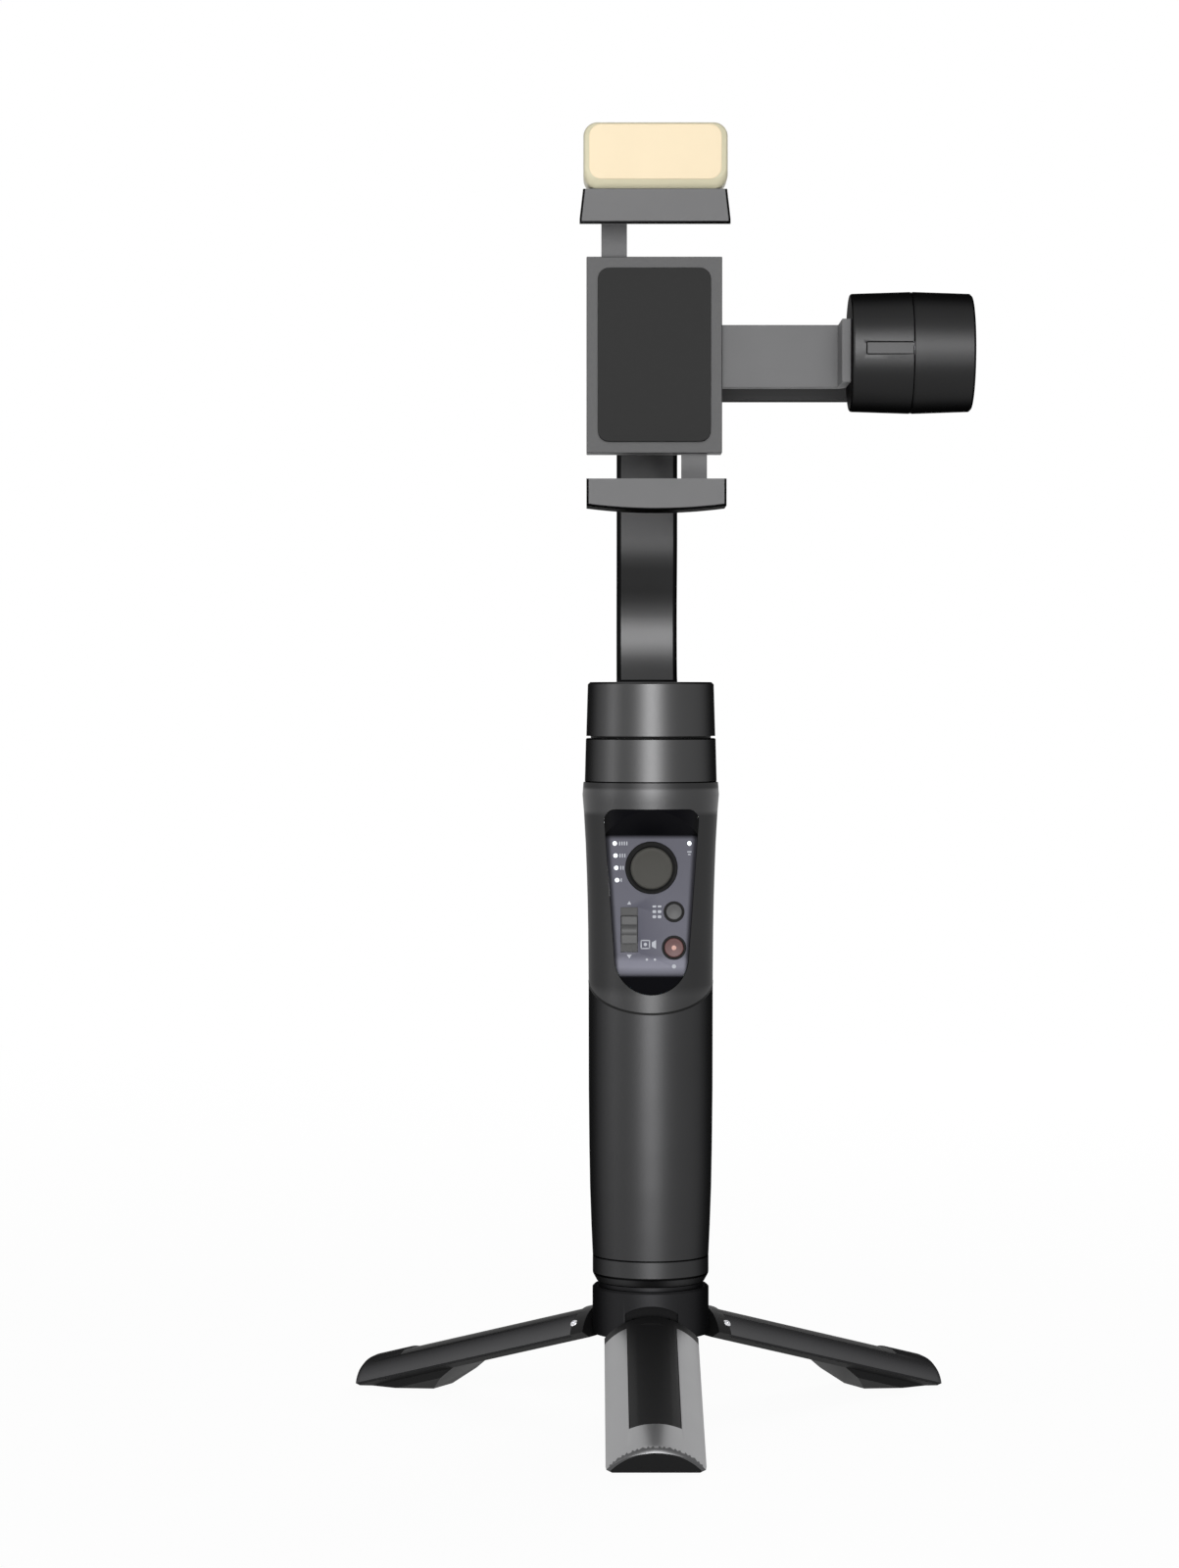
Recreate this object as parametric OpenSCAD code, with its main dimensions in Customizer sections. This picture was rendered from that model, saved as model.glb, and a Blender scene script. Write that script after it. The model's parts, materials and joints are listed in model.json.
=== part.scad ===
// Three-axis smartphone gimbal on a fold-out mini tripod, with a clip-on fill light.
// Millimetres. Z is up, X is to the right as the user sees it, and -Y faces the user.
// The origin lies at the plane of the feet, under the pan axis.

/* [Handle] */
// Height of the seam between the bottom cap and the grip
grip_foot_z = 41.1; // [39:0.1:44]
// Length of the grip and control section together
grip_len = 125.1; // [100:0.1:150]
// Radius of the grip at its lower seam
grip_foot_r = 15.35; // [15:0.05:16]
// Largest radius, at the shoulder under the pan motor
shoulder_r = 18.05; // [17.6:0.05:19]
// Thickness of the handle shells
shell_wall = 2; // [1.4:0.1:2.2]
// How far the control cover's seam lies below the grip's top, at the sides
seam_side_drop = 52.4; // [48:0.1:56]
// Slope of the control cover's lower seam, in degrees
seam_slope = 25.4; // [15:0.1:30]

/* [Bottom cap] */
// Underside of the bottom cap
cap_foot_z = 34; // [33.5:0.1:36]
// Radius of the bottom cap at its underside
cap_foot_r = 14.1; // [13:0.05:14.4]
// Height of the chamfer round the cap's underside
cap_chamfer_h = 2.3; // [1:0.1:3]
// Height of the cap's spigot inside the grip
cap_spigot_h = 1.9; // [1:0.1:2.2]

/* [Battery] */
// Radius of the battery cell
cell_r = 10.6; // [9:0.05:10.8]
// Gap between the battery cell, the control board and the parts round them
cell_end_gap = 1.15; // [0.8:0.05:1.4]
// How far the cell sits behind the handle's axis
cell_back = 1.5; // [1:0.1:1.8]

/* [Control panel] */
// Flat face of the control panel, in front of the handle's axis
panel_front = 12.3; // [12:0.05:12.8]
// Thickness of the panel's plate
panel_t = 1.5; // [1.2:0.1:1.6]
// How far the top of the recess lies below the grip's top
panel_top_drop = 6.8; // [6:0.1:9]
// Height of the sloping brow over the flat plate
brow_h = 6.8; // [5:0.1:8]
// Length of the flat plate
plate_len = 36.9; // [36:0.1:42]
// Height of the slope under the flat plate
chin_h = 4.8; // [4:0.1:6]
// Width of the recess at its top
panel_top_w = 24.8; // [23:0.1:25]
// Width of the recess where the bottom arc starts
panel_low_w = 19.6; // [18.5:0.1:21]

/* [Controls] */
// How far the joystick's centre lies below the plate's top
stick_drop = 8.6; // [8:0.1:9.2]
// Diameter of the joystick's cap
stick_cap_d = 11; // [9:0.1:11.6]
// Diameter of the dish round the joystick
stick_dish_d = 13.8; // [13:0.1:14.4]
// Largest tilt of the joystick, in degrees
stick_tilt = 12; // [6:1:12]
// Distance of the button column from the axis
button_x = 5.9; // [5.6:0.1:6.2]
// How far the mode button lies below the joystick
mode_drop = 11.5; // [11:0.1:12]
// Diameter of the mode button
mode_d = 4.3; // [3.6:0.1:4.6]
// How far the record button lies below the mode button
record_drop = 9.4; // [8:0.1:9.8]
// Diameter of the record button
record_d = 5.1; // [4.4:0.1:5.3]
// How far the buttons stand out of the plate
button_proud = 0.5; // [0.45:0.05:0.8]
// Travel of the buttons
button_travel = 0.4; // [0.2:0.05:0.4]
// Distance of the zoom slider from the axis
zoom_x = 5.8; // [5.6:0.1:6]
// Width of the slider's slot
zoom_slot_w = 4.5; // [4:0.1:4.8]
// Length of the slider's slot
zoom_slot_len = 11.8; // [11.6:0.1:12.4]
// Length of the slider's cap
zoom_cap_len = 7.2; // [6.6:0.1:7.4]
// Spacing of the four battery lights
led_pitch = 3.2; // [2.8:0.1:3.3]
// Diameter of a light pipe
led_d = 1.15; // [0.8:0.05:1.3]

/* [Motors] */
// Depth of the chamber in each motor housing
motor_depth = 9.4; // [9.2:0.1:9.6]
// Radius of the chamber in each motor housing
motor_bay_r = 13.8; // [13.7:0.1:14.4]
// Outer radius of the magnet rings
magnet_r = 13.2; // [13:0.05:13.3]
// Outer radius of the stators
stator_r = 11.3; // [10.8:0.1:11.4]
// Radius of the motor shafts
shaft_r = 2.5; // [2:0.1:2.8]
// Outer radius of the ball bearings
bearing_r = 5.5; // [5.2:0.1:5.6]
// Length of a ball bearing
bearing_len = 4; // [3:0.1:4]
// Running gap between a rotor and its housing
motor_gap = 0.6; // [0.5:0.05:0.8]
// Height of the pan motor's housing
pan_housing_h = 11.6; // [11.6:0.1:14]
// Radius of the pan motor's housing
pan_housing_r = 17.3; // [16.8:0.05:17.6]
// Height of the pan rotor
pan_rotor_h = 14.2; // [13:0.1:15]
// Radius of the pan rotor
pan_rotor_r = 17.05; // [16.6:0.05:17.4]
// Radius of the roll motor
roll_motor_r = 16.6; // [16:0.05:17]
// Length of the roll and tilt motors' housings
side_housing_len = 15.5; // [14.5:0.1:16]
// Length of the roll rotor
roll_rotor_len = 10.4; // [10.4:0.1:11]
// Length of the tilt rotor
tilt_rotor_len = 16; // [14:0.1:16.4]
// Radius of the tilt motor at its seam
tilt_motor_r = 16; // [15.7:0.05:16.2]
// Radius of the tilt motor at its two ends
tilt_end_r = 15.5; // [15.2:0.05:15.6]

/* [Arms] */
// Height of the roll and tilt axes
axis_z = 279.4; // [279:0.1:290]
// Width of the pan arm
arm_w = 17; // [15:0.1:18]
// Thickness of the pan arm
arm_t = 13; // [12:0.1:14]
// Front face of the roll motor's housing, behind the pan axis
roll_seam_y = 64.5; // [64:0.1:68]
// How far the pan arm's upright stands behind that face
arm_setback = 1; // [0.6:0.1:1.5]
// Radius of the fillet inside the pan arm's bend
arm_inner_fillet = 29; // [24:0.5:32]
// Height of that fillet above the rotor's top
arm_bend_h = 17; // [15:0.5:18]
// How far the pan arm's bend stands behind its upright
arm_lean = 5; // [3:0.5:6]
// Radius of the pan arm's outer bend
arm_outer_bend = 25; // [20:0.5:28]
// Height of the roll arm
roll_arm_h = 16; // [13:0.1:16.4]
// Thickness of the roll arm's bar behind the phone
roll_bar_t = 9.2; // [8:0.1:9.4]
// Thickness of the roll arm's part beside the tilt motor
roll_side_t = 12.4; // [10:0.1:12.6]
// Right-hand face of the roll arm
roll_side_x = 82; // [81.5:0.1:82.4]
// Seam between the two halves of the tilt motor
tilt_seam_x = 68.9; // [68.6:0.1:69.4]

/* [Phone clamp] */
// Gap between the jaws as the part stands
phone_gap = 71.2; // [68:0.1:72]
// How much further the jaws open
gap_open = 18.5; // [10:0.5:18.5]
// Sideways place of the clamp's middle
clamp_x = 1; // [0:0.1:2]
// Thickness of the phone the clamp is drawn round
phone_t = 8.4; // [7:0.1:9]
// Width of the clamp's body
clamp_w = 36; // [35:0.1:37]
// Height of the clamp's body
clamp_h = 52; // [50:0.1:52]
// Depth of the clamp's rear housing
clamp_depth = 7; // [6.8:0.1:8]
// Thickness of the jaws' slide plates
slide_t = 3; // [2.4:0.1:3.2]
// Width of the upper jaw at its lower edge
jaw_wide = 39.6; // [38:0.1:41]
// Width of the upper jaw at its upper edge
jaw_narrow = 37.8; // [36:0.1:38.6]
// Height of the upper jaw's front
jaw_h = 9; // [8:0.1:10]
// Height of the lower jaw's front
low_jaw_h = 8.3; // [7.5:0.1:9]
// How far a jaw's lip comes over the phone's face
lip_over = 2.2; // [1.5:0.1:3]
// Thickness of a jaw's lip
lip_t = 2.2; // [1.6:0.1:2.6]
// Thickness of the rubber pads
pad_t = 1.2; // [0.8:0.1:1.4]
// Gear module of the pinion and its racks
gear_module = 1; // [0.9:0.05:1]
// Teeth on the pinion
pinion_teeth = 12; // [12:2:14]

/* [Fill light] */
// Width of the fill light
light_w = 37.8; // [34:0.1:40]
// Height of the fill light
light_h = 17.2; // [16:0.1:20]
// Depth of the fill light
light_d = 14; // [12:0.1:15]
// Corner radius of the fill light
light_corner = 3.6; // [2:0.1:5]
// Width of the frame round the diffuser
light_frame = 1.5; // [1:0.1:2]
// Front of the fill light, in front of the phone's middle plane
light_front = 9; // [8:0.1:10]

/* [Tripod] */
// Outer radius of the tripod's hub
hub_r = 15.4; // [15:0.05:15.6]
// Underside of the hub's lobes
hub_foot_z = 20.5; // [20:0.1:21]
// Top of the hub
hub_top_z = 33; // [32.4:0.1:33.4]
// Slope of the opened legs below the horizontal, in degrees
leg_slope = 15.5; // [14.5:0.1:16]
// Distance of the leg pins from the axis
pin_circle_r = 9; // [8.8:0.1:9.2]
// Height of the leg pins above the hub's underside
pin_rise = 1.23; // [1:0.01:1.5]
// Outer radius of the folded legs
leg_r = 15.5; // [15.3:0.05:15.6]
// Depth of a leg from its crest to its flat underside
leg_depth = 7.9; // [7.5:0.1:8]
// Width of a leg
leg_w = 24.6; // [22:0.1:24.8]
// Length of a leg from its pin to the end of its crest
leg_len = 78; // [77.6:0.1:78.6]
// Wall of the leg's metal shell
leg_shell_t = 1.2; // [1:0.1:1.4]
// Width of the dark strip along a leg
strip_w = 13; // [10:0.1:14]
// Radius of the hinge pins
pin_r = 1.2; // [1:0.05:1.3]
// Radius of the quarter-inch stud
stud_r = 3.17; // [3.1:0.01:3.2]

/* [Hidden] */

$fn = 96;
// Overrun of every cut
over = 1;
// A length larger than the whole part, for half spaces
far = 400;
// Running clearance of shafts in their bearings
run_fit = 0.03;
// Clearance of a fixed piece in its seat
seat_fit = 0.05;
// Clearance of a sliding or moving piece
slide_fit = 0.15;

// Points of the handle's outline as shares of its length and of its swell, from the foot up
grip_shares = [[0, 0], [0.063, 0.13], [0.143, 0.26], [0.231, 0.333], [0.351, 0.389],
    [0.583, 0.407], [0.687, 0.444], [0.751, 0.5], [0.807, 0.574], [0.87, 0.685],
    [0.934, 0.852], [0.974, 1], [1, 0.907]];
grip_top_z = grip_foot_z + grip_len;
seam_side_z = grip_top_z - seam_side_drop;

// Heights on the control panel, from its top down
panel_top_z = grip_top_z - panel_top_drop;
plate_top_z = panel_top_z - brow_h;
plate_foot_z = plate_top_z - plate_len;
panel_foot_z = plate_foot_z - chin_h;
stick_z = plate_top_z - stick_drop;
mode_z = stick_z - mode_drop;
record_z = mode_z - record_drop;
zoom_z = (mode_z + record_z) / 2;
board_top_z = panel_top_z - cell_end_gap;
board_foot_z = plate_foot_z - cell_end_gap;

// Battery and its ribs
cell_gap = 0.2;
cell_z = grip_foot_z + cap_spigot_h + 2 * cell_gap;
cell_top_z = board_foot_z - cell_end_gap;
rib_t = 2;
rib_share = 0.16;
button_nub_r = 2.8;
button_nub_h = 0.3;

// Stack behind the control panel, as distances in front of the axis
panel_gap = 0.1;
panel_back = panel_front - panel_t;
board_front = 8;
board_t = 1.6;
board_w = 19;
post_r = 1.2;
switch_t = 1;
switch_w = 4;
flange_t = 0.7;
flange_step = 0.8;
plunger_r = 1;
slider_proud = 1.2;
slider_body_t = 1.9;
slider_body_w = 5;
slider_body_len = 9;
slider_scoop_r = 1.9;
slider_scoop = 0.6;
led_x = 9.6;
led_lean = 0.2;
led_right_x = 9.9;
led_proud = 0.05;
lit_z = stick_z + 2 * led_pitch;

// Joystick
pivot_front = 10.2;
stick_hole_r = 4.5;
dish_depth = 0.6;
stick_ball_r = 2;
stick_ring_wall = 1;
stick_ring_t = 1.2;
stick_stem_r = 1.5;
stick_cap_t = 1.9;
stick_clear = 0.55;
stick_reach = panel_front - pivot_front + stick_cap_d / 2 * sin(stick_tilt) + stick_clear;
stick_base_w = 9;
stick_ring_r = stick_ball_r + slide_fit + stick_ring_wall;
stick_pin_r = 0.35;
stick_pin_half = 4.3;
stick_dimple_r = 4;
stick_dimple = 0.5;

// Screws that hold the shells
screw_x = 12.3;
screw_shares = [0.157, 0.809];
screw_boss_r = 3;
screw_r = 0.95;
screw_head_r = 1.9;
screw_head_h = 1.6;
screw_seat_y = 2.4;
screw_len = 6.4;
boss_front = 5;
boss_back = 9;
drive_r = 1;
drive_depth = 0.7;

// Charging socket in the left side
usb_drop = 26.2;
usb_z = grip_top_z - usb_drop;
usb_y = 5;
usb_w = 8.9;
usb_t = 3.2;
usb_len = 7.4;
usb_wall = 0.35;
usb_inset = 0.4;
usb_tongue_t = 0.7;
usb_tongue_w = 6.2;

// Pan motor
pan_seam_z = grip_top_z + pan_housing_h;
pan_spigot_h = 2.6;
pan_spigot_gap = 0.4;
pan_rotor_top_z = pan_seam_z + motor_gap + pan_rotor_h;
rotor_edge = 0.6;
pan_taper = 0.4;
housing_taper = 0.15;

// Parts common to the three motors, along each motor's own axis from its seam
tube_wall = 0.9;
tube_r = bearing_r + tube_wall;
tube_top = 4.6;
tube_lip = 1.1;
bay_floor = 2.2;
stator_low = 4.6;
stator_high = 4.4;
stator_slots = 12;
slot_r = 1;
slot_ring_r = 9.2;
slit_w = 0.7;
magnet_t = 1.5;
magnet_low = 5.2;
rotor_ceiling = 8;
boss_low = 5.2;
boss_r = 4;
shaft_low = 9;
shaft_high = 9.4;
cover_t = 1.5;
cover_r = 13;
encoder_bay_r = 10;

// Pan arm
upright_front = roll_seam_y + arm_setback;
upright_back = upright_front + arm_t;
arm_foot_z = pan_rotor_top_z - arm_t;
bend_step = 6;
arm_lean_h = 24;
lean_steps = 8;
lid_w_share = 0.66;
lid_t = 1.2;
lid_gap = 0.15;
channel_w = 6;
channel_d = 3;
lean_low_z = pan_rotor_top_z + arm_bend_h;
lean_high_z = lean_low_z + arm_lean_h;
lid_low_z = lean_high_z + 2 * lid_t;
lid_high_z = axis_z - roll_motor_r - 3 * lid_t;

// Roll arm
roll_bar_back = roll_seam_y - motor_gap;
roll_bar_front = roll_bar_back - roll_bar_t;
roll_outer_bend = 14;
roll_inner_bend = 6;
roll_lid_x = roll_motor_r + 3 * lid_t;
roll_lid_end_x = roll_side_x - roll_outer_bend - lid_t;
roll_lid_h_share = 0.6;

// Tilt motor and the clamp's bracket
tilt_rotor_x = tilt_seam_x - motor_gap - tilt_rotor_len;
tilt_bevel = 0.4;
notch_w = 12.4;
notch_h = 3.2;
notch_d = 0.5;
bracket_h = 16.6;
bracket_t = 2.4;
bracket_bar_t = 5;
bracket_half_d = 8;
bracket_bend = 4;

// Clamp stack, as distances behind the tilt axis
phone_back = phone_t / 2;
clamp_cover_t = 1.6;
cover_front = phone_back + pad_t;
slide_front = cover_front + clamp_cover_t;
slide_room = slide_t + 2 * slide_fit;
clamp_back = slide_front + clamp_depth;
frame_wall = 4;
pad_inset = 3;
half_gap = phone_gap / 2;
jaw_front = phone_back + lip_t;
jaw_back = slide_front + slide_fit + slide_t;
lip_gap = 0.1;
jaw_side = 1.6;
low_jaw_bow = 1.2;
low_jaw_x = 1.4;
low_jaw_w = 36.8;

// Pinion and racks
pitch_r = gear_module * pinion_teeth / 2;
addendum = gear_module;
dedendum = 1.25 * gear_module;
pressure_angle = 20;
backlash = 0.16;
tooth_pitch = PI * gear_module;
rack_w = 6.8;
rack_grip = 3.75;
rack_tail = gap_open / 2 + rack_grip;
pinion_t = slide_t - 2 * slide_fit;
axle_r = 1.95;
hub_boss_r = 3;
hub_boss_len = 1.8;
spring_bay_r = 8;
spring_bay_d = 2.1;
spring_t = 0.35;
spring_turns = 4;
spring_gap = 0.25;
spring_step = 12;

// Fill light
diffuser_t = 1.6;
diffuser_inset = 0.4;
light_shell = 1.4;
light_x = 1.1;

// Tripod
neck_r = 13.8;
hub_chamfer = 0.5;
hub_core_r = 10.7;
hub_core_z = 17.6;
hub_slot_gap = 0.35;
knuckle_w = 9.6;
knuckle_r = 3;
knuckle_h = 3.5;
knuckle_gap = 0.2;
pin_half = 8;
leg_root = 4.9;
shell_root = 8.8;
strip_sink = 0.5;
strip_end = 67;
tip_out = 2.5;
tip_shares = [[0.1, 0.6], [0.26, 0.86], [0.5, 1]];
leg_bevel_w = 3;
leg_bevel_h = 1.8;
pocket_r = 12.2;
pocket_half = 7;
pocket_drop = 3.6;
pocket_depth = 4.4;
heel_s = 49.2;
sole_s = 59.8;
toe_s = 79.3;
stud_z = 22;
pin_z = hub_foot_z + pin_rise;
insert_r = 4.5;
insert_wall = 1;
fold_angle = 90 - leg_slope;
leg_angles = [-90, 150, 30];

// Shared shapes

module slab(lo, hi) {
    translate(lo) cube(hi - lo);
}

module ring(r_out, r_in, z_lo, z_hi) {
    translate([0, 0, z_lo]) difference() {
        cylinder(r = r_out, h = z_hi - z_lo);
        translate([0, 0, -over]) cylinder(r = r_in, h = z_hi - z_lo + 2 * over);
    }
}

module disc(r, z_lo, z_hi) {
    translate([0, 0, z_lo]) cylinder(r = r, h = z_hi - z_lo);
}

function arc(cx, cy, r, from, to, step = 6) =
    [for (i = [0 : ceil(abs(to - from) / step)])
        let (a = from + (to - from) * i / ceil(abs(to - from) / step))
        [cx + r * cos(a), cy + r * sin(a)]];

function rounded_box(w, h, r) = concat(
    arc(w / 2 - r, h / 2 - r, r, 0, 90),
    arc(r - w / 2, h / 2 - r, r, 90, 180),
    arc(r - w / 2, r - h / 2, r, 180, 270),
    arc(w / 2 - r, r - h / 2, r, 270, 360));

function backwards(points) = [for (i = [len(points) - 1 : -1 : 0]) points[i]];

// An outline in X and Z, drawn out along Y from y_lo to y_hi
module facing(y_lo, y_hi) {
    translate([0, y_hi, 0]) rotate([90, 0, 0]) linear_extrude(y_hi - y_lo) children();
}

// A round thing along Y
module rod_y(r, x, z, y_lo, y_hi) {
    translate([x, y_hi, z]) rotate([90, 0, 0]) cylinder(r = r, h = y_hi - y_lo);
}

// Handle

function grip_points(inset) = [for (p = grip_shares)
    [grip_foot_r + p[1] * (shoulder_r - grip_foot_r) - inset, grip_foot_z + p[0] * grip_len]];

module grip_solid(inset) {
    rotate_extrude() polygon(concat([[0, grip_foot_z]], grip_points(inset), [[0, grip_top_z]]));
}

module grip_tube() {
    rotate_extrude() polygon(concat(grip_points(0), backwards(grip_points(shell_wall))));
}

module front_half() {
    slab([-far, -far, 0], [far, 0, far]);
}

module above_seam() {
    translate([0, 0, seam_side_z]) rotate([seam_slope, 0, 0]) slab([-far, -far, 0], [far, far, far]);
}

module screw_places() {
    for (side = [-1, 1])
        for (share = screw_shares)
            translate([side * screw_x, 0, seam_side_z + share * seam_side_drop]) children();
}

module screw_bosses(y_lo, y_hi) {
    intersection() {
        grip_solid(shell_wall / 2);
        screw_places() rod_y(screw_boss_r, 0, 0, y_lo, y_hi);
    }
}

module cell_ribs() {
    for (share = [rib_share, 0.5 - rib_share])
        difference() {
            intersection() {
                grip_solid(shell_wall / 2);
                slab([-far, cell_back, grip_foot_z + share * grip_len],
                    [far, far, grip_foot_z + share * grip_len + rib_t]);
            }
            translate([0, cell_back, 0]) cylinder(r = cell_r + cell_gap, h = far);
        }
}

module handle_rear_shell() {
    color([0.13, 0.13, 0.14]) difference() {
        union() {
            difference() {
                grip_tube();
                front_half();
            }
            cell_ribs();
            screw_bosses(0, boss_back);
        }
        screw_places() {
            rod_y(screw_r + seat_fit, 0, 0, -over, boss_back);
            rod_y(screw_head_r + slide_fit, 0, 0, screw_seat_y, far);
        }
        translate([-far, usb_y - usb_t / 2 - slide_fit, usb_z - usb_w / 2 - slide_fit])
            cube([far, usb_t + 2 * slide_fit, usb_w + 2 * slide_fit]);
    }
}

module grip_front_shell() {
    color([0.13, 0.13, 0.14]) difference() {
        intersection() {
            grip_tube();
            front_half();
        }
        above_seam();
    }
}

// The recess as seen from the front: tapered sides and a round foot
panel_arc_r = panel_low_w / 2;
panel_arc_z = panel_foot_z + panel_arc_r;

function panel_outline(inset) = concat(
    arc(panel_top_w / 2 - 2 * panel_t - inset, panel_top_z - 2 * panel_t - inset, 2 * panel_t, 0, 90, 15),
    arc(2 * panel_t + inset - panel_top_w / 2, panel_top_z - 2 * panel_t - inset, 2 * panel_t, 90, 180, 15),
    arc(0, panel_arc_z, panel_arc_r - inset, 180, 360));

module control_cover() {
    color([0.15, 0.15, 0.16]) difference() {
        union() {
            intersection() {
                grip_tube();
                front_half();
                above_seam();
            }
            screw_bosses(-boss_front, 0);
        }
        screw_places() rod_y(screw_r + seat_fit, 0, 0, -boss_front - over, over);
        facing(-far, -panel_back + panel_t) polygon(panel_outline(0));
    }
}

module panel_cavity() {
    reach = shoulder_r + over;
    slope_out = (reach - panel_front);
    brow = plate_top_z + (panel_top_z - plate_top_z) * slope_out / (shoulder_r - panel_front);
    chin = plate_foot_z - (plate_foot_z - panel_foot_z) * slope_out / (grip_foot_r - panel_front);
    translate([-far / 2, 0, 0]) rotate([90, 0, 90]) linear_extrude(far)
        polygon([[-reach, brow], [-panel_front, plate_top_z], [-panel_front, plate_foot_z],
            [-reach, chin]]);
}

module button_hole(d, z) {
    rod_y(d / 2 + slide_fit, button_x, z, -panel_front - over, -panel_back + over);
}

module control_panel() {
    color([0.33, 0.34, 0.39]) difference() {
        union() {
            difference() {
                intersection() {
                    facing(-far, -panel_back) polygon(panel_outline(panel_gap));
                    grip_solid(0);
                }
                panel_cavity();
            }
            for (side = [-1, 1])
                rod_y(post_r, side * (board_w / 2 - 2 * post_r), plate_top_z - 5 * post_r,
                    -panel_back - seat_fit, -board_front);
        }
        rod_y(stick_dish_d / 2, 0, stick_z, -panel_front - over, -panel_front + dish_depth);
        rod_y(stick_hole_r, 0, stick_z, -panel_front - over, -panel_back + over);
        button_hole(mode_d, mode_z);
        button_hole(record_d, record_z);
        slab([-zoom_x - zoom_slot_w / 2, -panel_front - over, zoom_z - zoom_slot_len / 2],
            [-zoom_x + zoom_slot_w / 2, -panel_back + over, zoom_z + zoom_slot_len / 2]);
        led_places() rod_y(led_d / 2 + seat_fit, 0, 0, -panel_front - over, -panel_back + over);
    }
}

module led_places() {
    for (i = [0 : 3])
        translate([i * led_lean - led_x, 0, lit_z - i * led_pitch]) children();
    translate([led_right_x, 0, lit_z]) children();
}

module led_pipes() {
    color([0.75, 0.78, 0.82]) led_places()
        rod_y(led_d / 2, 0, 0, -panel_front - led_proud, -board_front);
}

module control_board() {
    color([0.05, 0.25, 0.13]) slab([-board_w / 2, -board_front, board_foot_z],
        [board_w / 2, -board_front + board_t, board_top_z]);
}

module joystick_base() {
    half = stick_base_w / 2;
    color([0.2, 0.2, 0.22]) difference() {
        slab([-half, -panel_back + seat_fit, stick_z - half], [half, -board_front, stick_z + half]);
        rod_y(stick_ring_r + 3 * slide_fit, 0, stick_z, -panel_back - over, over - board_front);
        translate([0, -pivot_front, stick_z - stick_base_w]) cylinder(r = stick_pin_r + run_fit,
            h = 2 * stick_base_w);
    }
}

module tact_switches() {
    half = switch_w / 2;
    color([0.7, 0.7, 0.72]) {
        for (z = [mode_z, record_z])
            slab([button_x - half, -board_front - switch_t, z - half],
                [button_x + half, -board_front, z + half]);
        slab([-zoom_x - slider_body_w / 2, -board_front - slider_body_t, zoom_z - slider_body_len / 2],
            [-zoom_x + slider_body_w / 2, -board_front, zoom_z + slider_body_len / 2]);
    }
}

// The ring turns on its own upright pins and holds the sideways pins of the stick's ball
module joystick_ring() {
    hole_r = stick_ball_r + slide_fit;
    color([0.75, 0.75, 0.77]) translate([0, -pivot_front, stick_z]) {
        difference() {
            rotate([90, 0, 0]) ring(stick_ring_r, hole_r, -stick_ring_t / 2, stick_ring_t / 2);
            rotate([0, 90, 0]) disc(stick_pin_r + run_fit, -stick_pin_half, stick_pin_half);
        }
        for (side = [0, 180])
            rotate([side, 0, 0]) disc(stick_pin_r, stick_ring_r - stick_ring_wall / 2, stick_pin_half);
    }
}

module joystick_stick() {
    color([0.16, 0.16, 0.17]) translate([0, -pivot_front, stick_z]) rotate([90, 0, 0]) difference() {
        union() {
            sphere(r = stick_ball_r);
            rotate([0, 90, 0]) disc(stick_pin_r, -stick_ring_r, stick_ring_r);
            disc(stick_stem_r, 0, stick_reach + stick_cap_t / 2);
            rotate_extrude() polygon([[0, stick_reach], [stick_cap_d / 2 - stick_dimple, stick_reach],
                [stick_cap_d / 2, stick_reach + stick_dimple],
                [stick_cap_d / 2, stick_reach + stick_cap_t - stick_dimple],
                [stick_cap_d / 2 - stick_dimple, stick_reach + stick_cap_t],
                [0, stick_reach + stick_cap_t]]);
        }
        translate([0, 0, stick_reach + stick_cap_t - stick_dimple])
            cylinder(r1 = stick_dimple_r - stick_dimple, r2 = stick_dimple_r + stick_dimple,
                h = 2 * stick_dimple);
    }
}

module zoom_slider() {
    cap_w = zoom_slot_w - 2 * slide_fit;
    half = zoom_cap_len / 2;
    back = panel_back - slide_fit - flange_t;
    color([0.3, 0.3, 0.33]) translate([-zoom_x, 0, zoom_z]) {
        difference() {
            slab([-cap_w / 2, -panel_front - slider_proud, -half], [cap_w / 2, -back - flange_t / 2, half]);
            translate([-cap_w, slider_scoop - panel_front - slider_proud - slider_scoop_r, 0])
                rotate([0, 90, 0]) cylinder(r = slider_scoop_r, h = 2 * cap_w);
        }
        slab([-zoom_slot_w / 2 - flange_step / 2, -back - flange_t, -half - flange_step / 2],
            [zoom_slot_w / 2 + flange_step / 2, -back, half + flange_step / 2]);
    }
}

module push_button(d, z) {
    back = panel_back - slide_fit - flange_t;
    stem_end = board_front + switch_t + button_travel + seat_fit;
    translate([button_x, 0, z]) {
        rod_y(d / 2, 0, 0, -panel_front - button_proud, -back - flange_t / 2);
        rod_y(d / 2 + flange_step, 0, 0, -back - flange_t, -back);
        rod_y(plunger_r, 0, 0, -back - flange_t / 2, -stem_end);
    }
}

module mode_button() {
    color([0.35, 0.36, 0.4]) push_button(mode_d, mode_z);
}

module record_button() {
    color([0.5, 0.25, 0.27]) push_button(record_d, record_z);
}

module battery_cell() {
    color([0.2, 0.45, 0.65]) translate([0, cell_back, 0]) {
        disc(cell_r, cell_z, cell_top_z - button_nub_h);
        disc(button_nub_r, cell_top_z - 2 * button_nub_h, cell_top_z);
    }
}

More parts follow.
